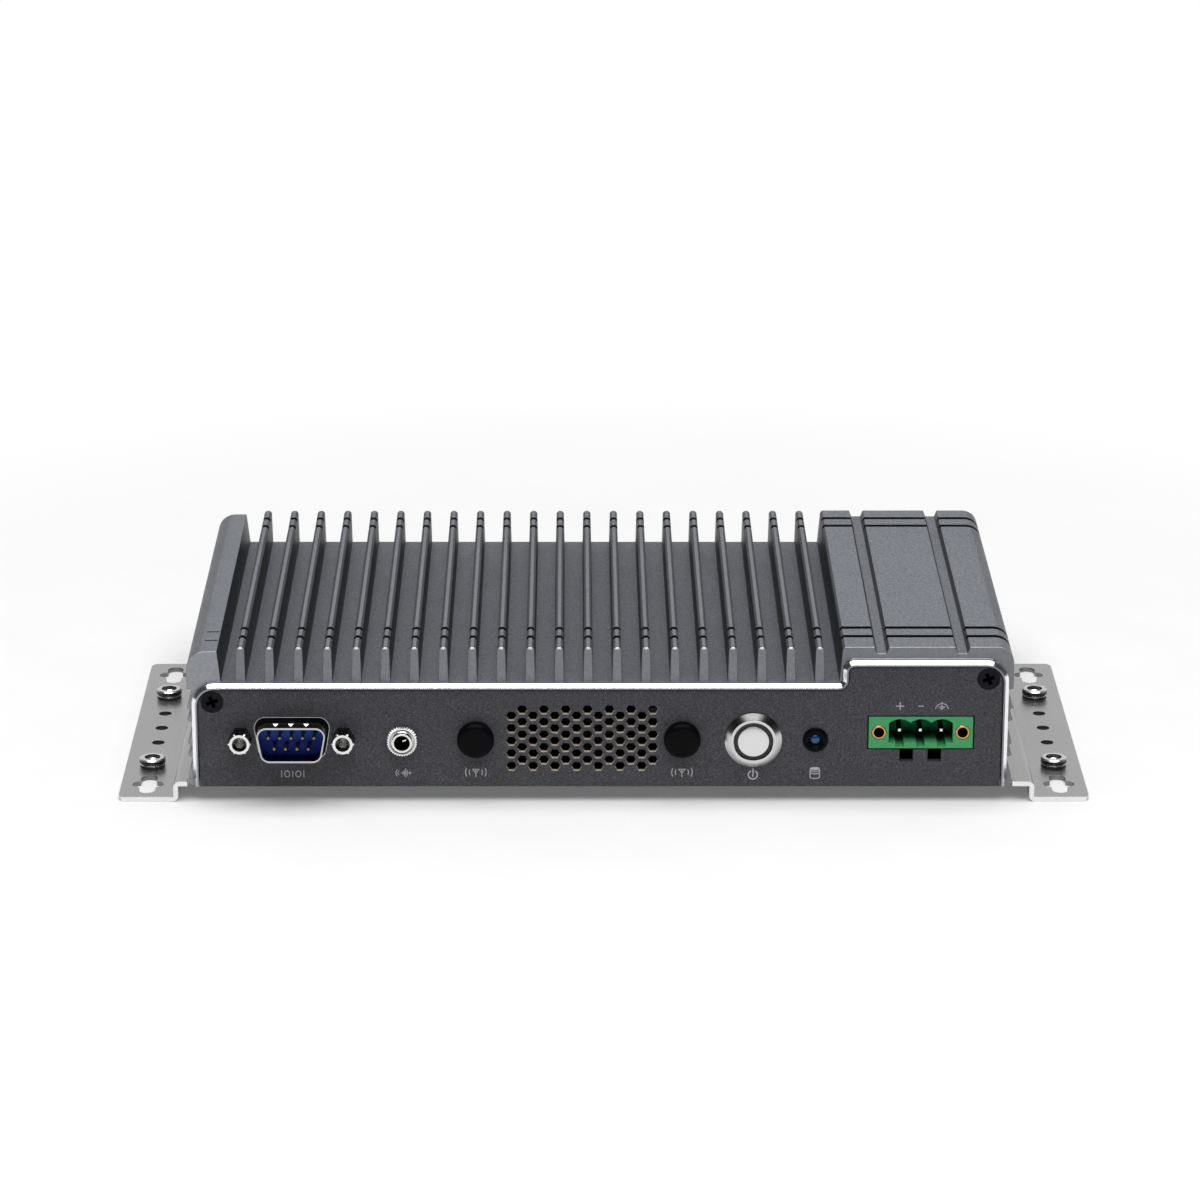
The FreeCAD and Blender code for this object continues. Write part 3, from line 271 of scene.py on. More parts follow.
def finished(made, **sockets):
    """Gives a material its shader; an underscore in a socket's name stands for a space."""
    tree = made.node_tree
    inputs = {key.replace("_", " "): value for key, value in sockets.items()}
    shader = node(tree, "ShaderNodeBsdfPrincipled", inputs)
    output = node(tree, "ShaderNodeOutputMaterial")
    tree.links.new(shader.outputs["BSDF"], output.inputs["Surface"])
    return made


def finished_metal(made, colour, cloud, low, high, depth=polish_depth):
    """Gives a material the shader of bare metal, with a roughness that a noise takes from low to high."""
    tree = made.node_tree
    return finished(
        made, Base_Color=colour, Metallic=1.0, Roughness=cloudy(tree, cloud, low, high),
        Normal=bump(tree, noise(tree, fine_grain), depth))


def in_rows(tree, y, rows, half):
    """1 in bands that run across the object."""
    return either(tree, *[between(tree, y, row - half, row + half) for row in rows])


def in_notch(tree, place):
    """1 on the walls and floors of the notches across the fins and the block."""
    high = both(tree, over(tree, place["Z"], notch_floor), over(tree, place["X"], cheek_edge))
    side = both(tree, over(tree, place["Z"], notch_side_floor), over(tree, place["X"], notch_side))
    return both(tree, in_rows(tree, place["Y"], notch_rows, notch_half), either(tree, high, side))


def in_mark(tree, place):
    """1 on the two short engraved marks on top of the cheek."""
    return both(
        tree, in_rows(tree, place["Y"], notch_rows[:2], mark_half),
        between(tree, place["X"], mark_start, mark_start + mark_length), over(tree, place["Z"], mark_height))


def near_front(tree, place, margin):
    """1 within a margin behind the sloped front ends of the fins, the cheek and the block."""
    rise = calc(tree, "SUBTRACT", place["Z"], fin_foot)
    front = calc(tree, "MULTIPLY_ADD", rise, end_slope, panel_y + end_setback)
    return under(tree, calc(tree, "SUBTRACT", place["Y"], front), margin)


def cast_light(tree, place, face, finned, flank):
    """Share of the light that a face gets."""
    crest = both(tree, over(tree, face["Z"], 0.95), over(tree, place["Z"], crest_height))
    curve = both(tree, outside_of(tree, finned), size_of(tree, face["X"]))
    share = calc(tree, "MULTIPLY_ADD", crest, crest_gain, 1.0)
    share = calc(tree, "MULTIPLY_ADD", flank, -flank_loss, share)
    return calc(tree, "MULTIPLY_ADD", curve, -curve_loss, share)


def worn_edge_highlight(tree, place, face, flank):
    """1 on the worn front edges, whose bright bare metal also paints their highlight: the tips of the fins
    and the upper edge of the front ends.
    """
    tip = both(tree, between(tree, place["X"], fins_start, fins_end), over(tree, place["Z"], tip_height),
               near_front(tree, place, worn_tip_highlight))
    line = both(tree, over(tree, face["Y"], -0.7), over(tree, place["Z"], end_edge_height),
                near_front(tree, place, worn_line_highlight), outside_of(tree, flank))
    return either(tree, tip, line)


def polished_edge(tree, place, face):
    """1 on the bevelled edges of both end frames."""
    off_middle = size_of(tree, calc(tree, "SUBTRACT", place["Y"], (cast_low.y + cast_high.y) / 2))
    reach = (cast_high.y - cast_low.y) / 2 - end_bevel_depth
    return both(tree, between(tree, size_of(tree, face["Y"]), 0.3, 0.97), over(tree, off_middle, reach))


def cast_coat():
    """Metallic powder coat, worn bright on the front edges where bare metal also paints their highlight, with
    polished edges on both end frames; painted light makes the front faces lighter, and painted shade darkens
    the notches and the cheek marks.
    """
    made, tree = new_material("cast_coat")
    place = place_xyz(tree)
    face = face_xyz(tree)
    finned = both(tree, over(tree, place["Z"], fin_foot + 0.2 * MM),
                  between(tree, place["X"], flanks_start, flanks_end))
    flank = both(tree, over(tree, size_of(tree, face["X"]), 0.3), finned)
    notch = either(tree, in_notch(tree, place), in_mark(tree, place))
    worn_highlight = worn_edge_highlight(tree, place, face, flank)
    edge = polished_edge(tree, place, face)

    fine = noise(tree, 3000.0, detail=2.0)
    coat = ramp(tree, fine, [(0.30, (0.085, 0.090, 0.100)), (0.50, (0.190, 0.200, 0.224)),
                             (0.66, (0.235, 0.248, 0.280)), (0.80, (0.52, 0.54, 0.58))])
    # Painted light: the front faces get a flatter coat in a lighter grey, lightest on the cheek
    at_cheek = under(tree, place["X"], cheek_edge)
    lit_end_coat = mix(tree, at_cheek, (0.29, 0.30, 0.325), (0.42, 0.435, 0.47))
    coat = mix(tree, under(tree, face["Y"], -0.85), coat, lit_end_coat)
    shade = cloudy(tree, noise(tree, 1300.0, detail=4.0), 0.80, 1.0)
    light = cast_light(tree, place, face, finned, flank)
    shade = node(tree, "ShaderNodeVectorMath", {0: shade, "Scale": light}, operation="SCALE").outputs[0]
    # Painted shade: the notches and the cheek marks turn near black
    colour = mix(tree, notch, tinted(tree, coat, shade), grey(0.006))
    # Worn front edges: bright bare metal, partly a painted highlight of their rounded corners
    colour = mix(tree, worn_highlight, colour, grey(0.85))
    colour = mix(tree, edge, colour, cloudy(tree, noise(tree, 900.0, detail=5.0), 0.84, 0.90))
    rough = mix(tree, worn_highlight, cloudy(tree, noise(tree, 60.0), 0.44, 0.52), grey(0.30))
    flakes = calc(tree, "MULTIPLY", outside_of(tree, notch), 0.45)
    return finished(
        made, Base_Color=colour, Metallic=either(tree, flakes, worn_highlight, edge),
        Roughness=mix(tree, edge, rough, grey(0.12)), Specular_IOR_Level=0.3,
        Normal=bump(tree, fine, coat_depth, bevel=0.35 * MM))


def panel_coat():
    """Dark matt coat; bare sheet shows on the walls of the vent holes, and their inner part is painted dark
    as shade.
    """
    made, tree = new_material("panel_coat")
    fine = noise(tree, 3800.0, detail=2.0)
    coat = ramp(tree, fine, [(0.32, (0.032, 0.032, 0.037)), (0.52, (0.068, 0.068, 0.078)),
                             (0.70, (0.108, 0.108, 0.122)), (0.82, (0.20, 0.20, 0.21))])
    place = place_xyz(tree)
    wall = both(tree, under(tree, size_of(tree, face_xyz(tree)["Y"]), 0.5),
                between(tree, place["X"], *vent_across), between(tree, place["Z"], *vent_upright))
    bare = cloudy(tree, noise(tree, 1500.0), (0.66, 0.58, 0.50), (0.84, 0.76, 0.67))
    # Painted shade: the vent walls turn near black beyond the depth that is lit
    bare = mix(tree, over(tree, place["Y"], panel_y + vent_lit_depth), bare, grey(0.006))
    return finished(
        made, Base_Color=mix(tree, wall, coat, bare), Metallic=calc(tree, "MULTIPLY", wall, 0.25),
        Roughness=cloudy(tree, noise(tree, 300.0), 0.54, 0.64), Specular_IOR_Level=0.3,
        Normal=bump(tree, fine, coat_depth, bevel=0.10 * MM))


def brushed(name, dark, light, rough, stretch):
    """Metal with fine lines along the axis whose scale is small in stretch."""
    made, tree = new_material(name)
    lines = noise(tree, 5200.0, stretch, 4.0)
    patches = mix(tree, noise(tree, 45.0), dark, light)
    return finished(
        made, Base_Color=tinted(tree, patches, cloudy(tree, lines, 0.82, 1.0)), Metallic=1.0,
        Roughness=ramp(tree, lines, [(0.25, rough - 0.06), (0.75, rough + 0.08)]),
        Normal=bump(tree, lines, 0.008 * MM))


def bright(name, dark, light, rough, scale=700.0):
    """Plated or turned metal with faint clouds in its polish."""
    made, tree = new_material(name)
    cloud = noise(tree, scale, detail=4.0)
    return finished_metal(made, mix(tree, cloud, dark, light), cloud, rough, rough + 0.10)


def faced_metal(name, axis, light, dark, rough):
    """Metal that is bright on faces along one axis, with painted shade making it dark on its sides and in its
    bore.
    """
    made, tree = new_material(name)
    along = size_of(tree, face_xyz(tree)[axis])
    cloud = noise(tree, 700.0, detail=4.0)
    face = mix(tree, cloud, light, [0.85 * value for value in light])
    # Painted shade: sides and bore take the dark colour
    return finished_metal(made, mix(tree, over(tree, along, 0.6), dark, face), cloud, rough, rough + 0.10)


def bezel_steel():
    """Polished steel, with a painted dark reflection where its cone faces up."""
    made, tree = new_material("bezel_steel")
    cloud = noise(tree, 900.0, detail=4.0)
    steel = mix(tree, cloud, grey(0.58), grey(0.68))
    # Painted reflection: the cone is made dark where it faces up
    upward = ramp(tree, face_xyz(tree)["Z"], [(0.12, 0.0), (0.45, 1.0)])
    return finished_metal(made, mix(tree, upward, steel, grey(0.13)), cloud, 0.20, 0.26, 0.003 * MM)


def bracket_nickel():
    """Nickel-plated sheet with faint rolling lines, cut ends painted bright as a highlight, and hole walls
    painted dark as shade.
    """
    made, tree = new_material("nickel_sheet")
    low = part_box("bracket_left")[0]
    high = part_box("bracket_right")[1]
    flange = 11.2 * MM
    margin = 1.0 * MM
    thickness = 1.3 * MM
    slots = 30.0 * MM
    place = place_xyz(tree)
    face = face_xyz(tree)
    holes = both(
        tree, between(tree, size_of(tree, place["X"]), high.x - flange, high.x - margin),
        between(tree, place["Y"], low.y + margin, high.y - margin),
        under(tree, place["Z"], low.z + thickness), under(tree, size_of(tree, face["Z"]), 0.5))
    small_holes = between(tree, place["Y"], low.y + slots, high.y - slots)
    cut_end_highlight = both(tree, under(tree, place["Y"], low.y + margin / 2), under(tree, face["Y"], -0.7))
    lines = noise(tree, 5200.0, (1.0, 0.03, 1.0), 4.0)
    colour = mix(tree, noise(tree, 45.0), grey(0.56), grey(0.62))
    colour = tinted(tree, colour, cloudy(tree, lines, 0.93, 1.0))
    # Painted highlight on the cut ends facing the front
    colour = mix(tree, cut_end_highlight, colour, grey(0.85))
    # Painted shade on the hole walls, darkest in the small holes
    colour = mix(tree, holes, colour, mix(tree, small_holes, grey(0.22), grey(0.04)))
    return finished(
        made, Base_Color=colour, Metallic=1.0,
        Roughness=ramp(tree, lines, [(0.25, 0.26), (0.75, 0.34)]),
        Normal=bump(tree, lines, 0.002 * MM, bevel=0.12 * MM))


def screw_black():
    """Blackened steel, with painted shade that makes it darkest below the flat of the head."""
    made, tree = new_material("black_oxide")
    off_middle = size_of(tree, calc(tree, "SUBTRACT", place_xyz(tree)["Y"], (panel_y + rear_y) / 2))
    flat = 0.04 * MM
    deep = under(tree, off_middle, (rear_y - panel_y) / 2 - flat)
    cloud = noise(tree, 700.0, detail=4.0)
    face = mix(tree, cloud, (0.008, 0.008, 0.010), (0.018, 0.018, 0.022))
    # Painted shade: all but the flat of the head is near black
    return finished_metal(made, mix(tree, deep, face, grey(0.001)), cloud, 0.30, 0.40)


def tin_shell():
    """Tin-plated port shell, bright on its rim, with painted shade and reflection making it dark on its upper
    and lower walls.
    """
    made, tree = new_material("tin_shell")
    wall = both(tree, over(tree, size_of(tree, face_xyz(tree)["Z"]), 0.6),
                under(tree, place_xyz(tree)["Y"], panel_y - 1.0 * MM))
    cloud = noise(tree, 260.0, detail=4.0)
    colour = mix(tree, cloud, grey(0.46), grey(0.60))
    # Painted shade and reflection: the upper and lower walls turn near black
    return finished_metal(made, mix(tree, wall, colour, grey(0.04)), cloud, 0.17, 0.27)


def brushed_disc():
    """Disc of the button, brushed in circles round its own centre."""
    made, tree = new_material("brushed_disc")
    middle = centre("button_cap")
    place = place_xyz(tree)
    u = calc(tree, "SUBTRACT", place["X"], middle.x)
    v = calc(tree, "SUBTRACT", place["Z"], middle.z)
    radius = calc(tree, "SQRT", calc(tree, "MULTIPLY_ADD", v, v, calc(tree, "MULTIPLY", u, u)))
    circles = node(tree, "ShaderNodeTexNoise", {"W": radius, "Scale": 9000.0, "Detail": 3.0},
                   noise_dimensions="1D").outputs["Fac"]
    return finished(
        made, Base_Color=mix(tree, circles, grey(0.62), grey(0.86)), Metallic=1.0,
        Roughness=cloudy(tree, circles, 0.26, 0.36), Normal=bump(tree, circles, 0.006 * MM))


def plastic(name, dark, light, rough, grain=fine_grain, depth=grain_depth, coat=0.0, shine=0.5):
    """Moulded plastic with a fine grain."""
    made, tree = new_material(name)
    grains = noise(tree, grain)
    sockets = dict(
        Base_Color=cloudy(tree, grains, dark, light),
        Roughness=cloudy(tree, noise(tree, 420.0), rough, rough + 0.12),
        Specular_IOR_Level=shine, Normal=bump(tree, grains, depth))
    if coat:
        sockets["Coat_Weight"] = coat
        sockets["Coat_Roughness"] = 0.08
    return finished(made, **sockets)


def finished_mottled(made, colour, rough):
    """Gives a material the shader of moulded plastic, mottled by its grain."""
    tree = made.node_tree
    grains = noise(tree, fine_grain)
    return finished(
        made, Base_Color=tinted(tree, colour, cloudy(tree, grains, 0.90, 1.0)), Specular_IOR_Level=0.2,
        Roughness=cloudy(tree, noise(tree, 420.0), rough, rough + 0.12),
        Normal=bump(tree, grains, grain_depth))


def insulator_blue():
    """Blue insulator, lighter towards its top as painted light, and brightened overall against the shade
    inside the shell.
    """
    made, tree = new_material("blue_insulator")
    low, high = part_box("serial_insulator")
    rise = calc(tree, "DIVIDE", calc(tree, "SUBTRACT", place_xyz(tree)["Z"], low.z), high.z - low.z)
    # Painted light: colour lighter towards the top, and brighter than the plastic to make up for the shade in
    # the shell
    colour = ramp(tree, rise, [
        (0.0, (0.02, 0.04, 0.38)), (0.5, (0.022, 0.07, 0.56)), (1.0, (0.02, 0.27, 0.95))])
    return finished_mottled(made, colour, 0.42)


def header_green():
    """Green header, whose deep socket swallows the light above its keyways: painted shade darkens the socket
    with depth, a painted light brightens its rear wall, and painted shade darkens the keyways with depth.
    """
    made, tree = new_material("green_header")
    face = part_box("supply_housing")[0].y
    floor = centre("supply_inserts").z - 2.5 * MM
    socket_depth = 9.0 * MM
    place = place_xyz(tree)
    depth = calc(tree, "DIVIDE", calc(tree, "SUBTRACT", place["Y"], face), socket_depth)
    # Painted shade deepening into the socket, and painted light on its rear wall
    deep = ramp(tree, depth, [
        (0.0, (0.082, 0.43, 0.165)), (0.055, (0.070, 0.37, 0.14)), (0.16, (0.004, 0.085, 0.036)),
        (0.36, (0.002, 0.012, 0.006)), (0.91, (0.002, 0.010, 0.005)), (0.93, (0.01, 0.42, 0.15))])
    # Painted shade along the keyways, darker with depth
    keyway = ramp(tree, depth, [
        (0.0, (0.082, 0.43, 0.165)), (0.30, (0.075, 0.40, 0.16)), (0.9, (0.02, 0.10, 0.05))])
    return finished_mottled(made, mix(tree, under(tree, place["Z"], floor), deep, keyway), 0.40)


def circuit_board():
    """Green board with fine tracks, its colours near black, partly as painted shade inside the closed case.
    """
    made, tree = new_material("circuit_board")
    # Painted shade in part: the board's greens are near black so the inside seen through the vents is dark
    tracks = node(tree, "ShaderNodeTexBrick", {
        "Vector": place_of(tree), "Scale": 160.0, "Mortar Size": 0.06,
        "Color1": (0.002, 0.016, 0.010, 1), "Color2": (0.003, 0.022, 0.013, 1),
        "Mortar": (0.006, 0.040, 0.022, 1)}).outputs["Color"]
    shade = mix(tree, noise(tree, 500.0), (0.002, 0.014, 0.008), (0.004, 0.026, 0.014))
    return finished(
        made, Base_Color=mix(tree, 0.5, tracks, shade),
        Roughness=cloudy(tree, noise(tree, 240.0), 0.28, 0.40),
        Normal=bump(tree, noise(tree, 900.0), grain_depth))


# Materials of the slots in the record
lines_x = (0.03, 1.0, 1.0)
lines_y = (1.0, 0.03, 1.0)
materials = {
    "cast": cast_coat(),
    "panel": panel_coat(),
    "cover_sheet": brushed("zinc_sheet", (0.40, 0.41, 0.42), (0.52, 0.53, 0.54), 0.38, lines_x),
    "bracket": bracket_nickel(),
    "nut_metal": bright("plated_nut", (0.74, 0.74, 0.73), (0.90, 0.90, 0.89), 0.18),
    "black_screw": screw_black(),
    "steel_screw": bright("zinc_screw", grey(0.46), grey(0.62), 0.25),
    "board": circuit_board(),
    "port_shell": tin_shell(),
    "blue_plastic": insulator_blue(),
    "gold": bright("gold_contact", (0.25, 0.17, 0.07), (0.37, 0.26, 0.11), 0.24),
    "black_plastic": plastic("black_plastic", (0.005, 0.005, 0.007), (0.011, 0.011, 0.014), 0.40, shine=0.25),
    "plug_plastic": plastic("plug_plastic", (0.0015, 0.0015, 0.002), (0.003, 0.003, 0.004), 0.30, shine=0.06),
    "stainless": bright("stainless", grey(0.50), grey(0.60), 0.19, 300.0),
    "light_ring": plastic("smoked_ring", (0.012, 0.012, 0.013), (0.024, 0.024, 0.026), 0.24, shine=0.4),
    "lamp_blue": plastic("blue_lens", (0.004, 0.045, 0.15), (0.008, 0.085, 0.25), 0.16, coat=0.3),
    "green_plastic": header_green(),
    # Brass whose sides and bores are painted dark as shade
    "brass_insert": faced_metal("brass", "Y", (0.80, 0.40, 0.12), (0.012, 0.008, 0.004), 0.24),
    "shield_steel": brushed("tin_shield", (0.52, 0.52, 0.53), (0.66, 0.66, 0.67), 0.26, lines_y),
    "chip": plastic("chip_epoxy", (0.012, 0.012, 0.013), (0.028, 0.028, 0.030), 0.5),
    "pad": plastic("thermal_pad", (0.30, 0.32, 0.35), (0.40, 0.42, 0.45), 0.7),
    "spreader": brushed("milled_aluminium", (0.58, 0.58, 0.59), (0.72, 0.72, 0.73), 0.30, lines_x),
}

# Materials of single pieces
print_paint = plastic("print_paint", (0.50, 0.50, 0.505), (0.62, 0.62, 0.625), 0.55, 1800.0, 0.003 * MM)
# turned_nickel, press_nickel and pin_tin carry painted shade on their sides and in their bores
turned_nickel = faced_metal("turned_nickel", "Y", (0.86, 0.86, 0.85), (0.035, 0.035, 0.036), 0.20)
press_nickel = faced_metal("press_nickel", "Z", (0.96, 0.96, 0.95), (0.09, 0.09, 0.09), 0.22)
# Pale plastic that paints the highlight on the edge round the port's shell
painted_edge_highlight = plastic("painted_edge_highlight", (0.74, 0.74, 0.73), (0.88, 0.88, 0.87), 0.35)
pin_tin = faced_metal("tinned_pin", "Y", (0.95, 0.95, 0.94), (0.02, 0.02, 0.02), 0.35)


def dress_cad_nodes():
    """Each node takes the material of its slot in the record."""
    for part in frame["record"]["subparts"]:
        found = nodes[part["node"]]
        found.data.materials.clear()
        found.data.materials.append(materials[part["material_slot"]])


def solids(name):
    """Boxes of the separate solids of a node, from left to right."""
    work = bmesh.new()
    work.from_mesh(nodes[name].data)
    bmesh.ops.remove_doubles(work, verts=work.verts, dist=1e-6)
    left = set(work.verts)
    boxes = []
    while left:
        queue = [left.pop()]
        group = list(queue)
        while queue:
            for edge in queue.pop().link_edges:
                for near in edge.verts:
                    if near in left:
                        left.remove(near)
                        queue.append(near)
                        group.append(near)
        spans = [[vert.co[axis] for vert in group] for axis in range(3)]
        boxes.append([Vector(pick(span) for span in spans) for pick in (min, max)])
    work.free()
    return sorted(boxes, key=lambda pair: (pair[0].x, pair[0].y))


def fronts(name):
    """Middle of each solid of a node, at the face of the front panel."""
    return [Vector(((low.x + high.x) / 2, panel_y, (low.z + high.z) / 2)) for low, high in solids(name)]


def reaches(name):
    """Reach of a node before and behind the panel's face, and half its width, in millimetres."""
    low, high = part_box(name)
    return (panel_y - low.y) / MM, (high.y - panel_y) / MM, (high.x - low.x) / 2 / MM


def new_piece(name, mesh, material, body="housing", replaced=()):
    mesh.materials.append(material)
    made = bpy.data.objects.new(name, mesh)
    bpy.context.scene.collection.objects.link(made)
    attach(made, body)
    if replaced:
        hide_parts(*replaced)
    return made


def to_mesh(name, work, smooth_angle=32.0):
    bmesh.ops.remove_doubles(work, verts=work.verts, dist=1e-8)
    bmesh.ops.recalc_face_normals(work, faces=work.faces)
    mesh = bpy.data.meshes.new(name)
    work.to_mesh(mesh)
    work.free()
    mesh.shade_smooth()
    mesh.set_sharp_from_angle(angle=math.radians(smooth_angle))
    return mesh


def pointing(axis, place):
    """Turns a form made about Z, with its foot at zero, to point along an axis from a place."""
    turns = {"-y": 90, "y": -90, "-z": 180, "z": 0}
    return Matrix.Translation(place) @ Matrix.Rotation(math.radians(turns[axis]), 4, "X")


def rounded(profile, steps=5):
    """Outline from (radius, height) points; a third number rounds the corner."""
    points = []
    for index, point in enumerate(profile):
        here = Vector(point[:2])
        if len(point) < 3:
            points.append(here)
            continue
        before = (Vector(profile[index - 1][:2]) - here).normalized()
        after = (Vector(profile[(index + 1) % len(profile)][:2]) - here).normalized()
        half = before.angle(after) / 2
        middle = here + (before + after).normalized() * point[2] / math.sin(half)
        start = here + before * point[2] / math.tan(half) - middle
        end = here + after * point[2] / math.tan(half) - middle
        for step in range(steps + 1):
            points.append(middle + start.slerp(end, step / steps).normalized() * point[2])
    return points


def thread(radius, depth, low, high, pitch):
    """Zigzag outline of a threaded bore, from its low end to its high end."""
    points = []
    for turn in range(int((high - low) / pitch)):
        points.append((radius, low + turn * pitch))
        points.append((radius + depth, low + (turn + 0.5) * pitch))
    return points


def circle(work, matrix, radius, height, points, shape=None):
    """Adds a ring of points about Z; shape changes the radius at an angle."""
    ring = []
    for index in range(points):
        angle = 2 * math.pi * index / points
        reach = shape(radius, angle) if shape else radius
        spot = Vector((reach * math.cos(angle), reach * math.sin(angle), height)) * MM
        ring.append(work.verts.new(matrix @ spot))
    return ring


def join_rings(work, ring, after):
    """Adds the faces between two rings."""
    for index in range(len(ring)):
        work.faces.new((ring[index - 1], ring[index], after[index], after[index - 1]))


def turned(work, profile, matrix, shape=None, points=round_points, bored=False):
    """Adds a turned form from a (radius, height) outline in millimetres.

    A bored form's outline runs round its section."""
    rings = [circle(work, matrix, radius, height, points, shape) for radius, height in profile]
    for ring, after in zip(rings, rings[1:] + rings[:1] if bored else rings[1:]):
        join_rings(work, ring, after)
    if not bored:
        work.faces.new(rings[0])
        work.faces.new(rings[-1])


def turned_piece(name, places, axis, profile, look, slot, body="housing", replaced=(), **form):
    work = bmesh.new()
    for place in places:
        turned(work, rounded(profile), pointing(axis, place), **form)
    return new_piece(name, to_mesh(name, work), look, body, replaced)


def hexagon(flats):
    """Limits a turned form to a hexagon with corners to the left and right."""
    def limit(radius, angle):
        return min(radius, flats / 2 / math.cos(angle % (math.pi / 3) - math.pi / 6))
    return limit


def knurled(teeth, depth, above):
    """Cuts rounded teeth into the part of a turned form beyond a radius."""
    def cut(radius, angle):
        return radius - (0.5 - 0.5 * math.cos(teeth * angle)) * depth if radius > above else radius
    return cut


def cross_outline(reach, width):
    """Corners of a cross recess, anticlockwise."""
    half = width / 2
    corners = []
    for turn in range(4):
        spin = Matrix.Rotation(math.radians(90 * turn), 2)
        corners += [spin @ Vector(corner) for corner in ((reach, -half), (reach, half), (half, half))]
    return corners


def cross_screw(work, matrix, profile):
    """Adds a screw whose turned outline starts at the rim of its flat top, with a cross recess."""
    radius, top = profile[0]
    rim = circle(work, matrix, radius, top, screw_points)
    mouth = []
    floor = []
    for corner in cross_outline(recess_reach, recess_width):
        mouth.append(work.verts.new(matrix @ (Vector((*corner, top)) * MM)))
        floor.append(work.verts.new(matrix @ (Vector((*(corner * recess_floor), top - recess_depth)) * MM)))
    edges = []
    for loop in (rim, mouth):
        edges += [work.edges.new((loop[index - 1], loop[index])) for index in range(len(loop))]
    bmesh.ops.triangle_fill(work, edges=edges, use_beauty=True)
    join_rings(work, mouth, floor)
    work.faces.new(floor)
    ring = rim
    for radius, height in profile[1:]:
        after = circle(work, matrix, radius, height, screw_points)
        join_rings(work, ring, after)
        ring = after
    work.faces.new(ring)


def screw_pieces():
    """Cross-recessed screws in place of the plain ones, each as long and as wide."""
    kinds = (("front_screws", "-y", "black_screw", True), ("rear_screws", "y", "black_screw", True),
             ("bracket_screws", "-z", "steel_screw", False), ("bottom_screws", "-z", "steel_screw", False))
    for name, axis, slot, sunk in kinds:
        work = bmesh.new()
        for low, high in solids(name):
            size = (high - low) / MM
            head = size.x / 2
            middle = (low + high) / 2
            across = 1 if axis in ("y", "-y") else 2
            length = size[across]
            middle[across] = high[across] if axis == "y" else low[across]
            if sunk:
                shank = 1.5
                outline = [(head - 0.12, 0.0), (head, -0.12), (shank, 1.3 - head)]
            else:
                shank = 1.25
                outline = [(head - 0.75, 0.0), (head - 0.3, -0.18), (head, -0.65), (head, -1.5),
                           (shank, -1.5)]
            outline += [(shank, 0.3 - length), (shank - 0.3, -length)]
            turn = pointing(axis, middle) @ Matrix.Rotation(math.radians(20), 4, "Z")
            cross_screw(work, turn, outline)
        made = name + "_recessed"
        new_piece(made, to_mesh(made, work), materials[slot], replaced=[name])


def serial_pins():
    """Round gold pins with rounded tips."""
    radius = 0.44
    work = bmesh.new()
    for low, high in solids("serial_pins"):
        tip = Vector(((low.x + high.x) / 2, low.y, (low.z + high.z) / 2))
        outline = rounded([(axis_flat, 0.0), (radius, 0.0, 0.3), (radius, -(high.y - low.y) / MM)])
        turned(work, outline, pointing("-y", tip), points=pin_points)
    new_piece("round_pins", to_mesh("round_pins", work), materials["gold"], replaced=["serial_pins"])


def jackscrews():
    """Chamfered hexagonal jackscrews with a threaded bore."""
    out, shank, _ = reaches("serial_jackscrews")
    flats = 5.0
    corner = flats / 2 / math.cos(math.pi / 6)
    foot = 1.5
    floor = 0.3
    outline = [(axis_flat, floor)] + thread(1.12, 0.2, floor, out - 0.95, 0.5) + [
        (1.25, out - 0.9), (1.8, out), (flats / 2 - 0.05, out, 0.06), (corner, out - 0.35),
        (corner, 0.0), (foot, 0.0), (foot, -shank)]
    turned_piece("threaded_jackscrews", fronts("serial_jackscrews"), "-y", outline, turned_nickel,
                 "nut_metal", replaced=["serial_jackscrews"], shape=hexagon(flats))


def shell_dimples():
    """Wedge-shaped contact dimples on top of the port's shell."""
    spots = [vert.co for vert in nodes["serial_shell"].data.vertices]
    top = max(spot.z for spot in spots if spot.y < panel_y - 1.0 * MM)
    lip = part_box("serial_shell")[0].y + 1.3 * MM
    middle = centre("serial_insulator").x
    spacing = 3.7 * MM
    corners = ((-0.65, 0.62, 0.42), (0.65, 0.62, 0.42), (0.65, 0.7, -0.05), (-0.65, 0.7, -0.05),
               (0.0, 0.0, -0.05))
    faces = ((0, 1, 2, 3), (0, 4, 1), (1, 4, 2), (3, 4, 0), (2, 4, 3))
    work = bmesh.new()
    for step in (-spacing, 0.0, spacing):
        place = Vector((middle + step, lip, top))
        verts = [work.verts.new(place + Vector(corner) * MM) for corner in corners]
        for face in faces:
            work.faces.new([verts[index] for index in face])
    new_piece("shell_dimples", to_mesh("shell_dimples", work), materials["nut_metal"])


def shell_root_shade():
    """Dark ribbon of painted shade round the root of the port's shell on the panel, with a bright ribbon of
    painted highlight on its edge.
    """
    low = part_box("serial_shell")[0]
    spots = [vert.co for vert in nodes["serial_shell"].data.vertices if vert.co.y < low.y + 0.1 * MM]
    spots = [Vector((spot.x, spot.z)) / MM for spot in spots]
    line = [spots[index] for index in convex_hull_2d(spots)]
    wide = max(spot.x for spot in line) - min(spot.x for spot in line)
    tall = max(spot.y for spot in line) - min(spot.y for spot in line)
    middle = sum(line, Vector((0.0, 0.0))) / len(line)
    # Painted shade and painted highlight: a black ribbon and a pale one on the panel round the shell
    for name, out, width, lift, look in (("shell_root_shade", 0.40, 1.0, 0.04, materials["plug_plastic"]),
                                         ("shell_root_highlight", 0.85, 0.16, 0.08, painted_edge_highlight)):
        scale = Vector((1 + 2 * out / wide, 1 + 2 * out / tall))
        work = bmesh.new()
        ribbon(work, [middle + (spot - middle) * scale for spot in line], width, lift * MM, True)
        new_piece(name, to_mesh(name, work), look)


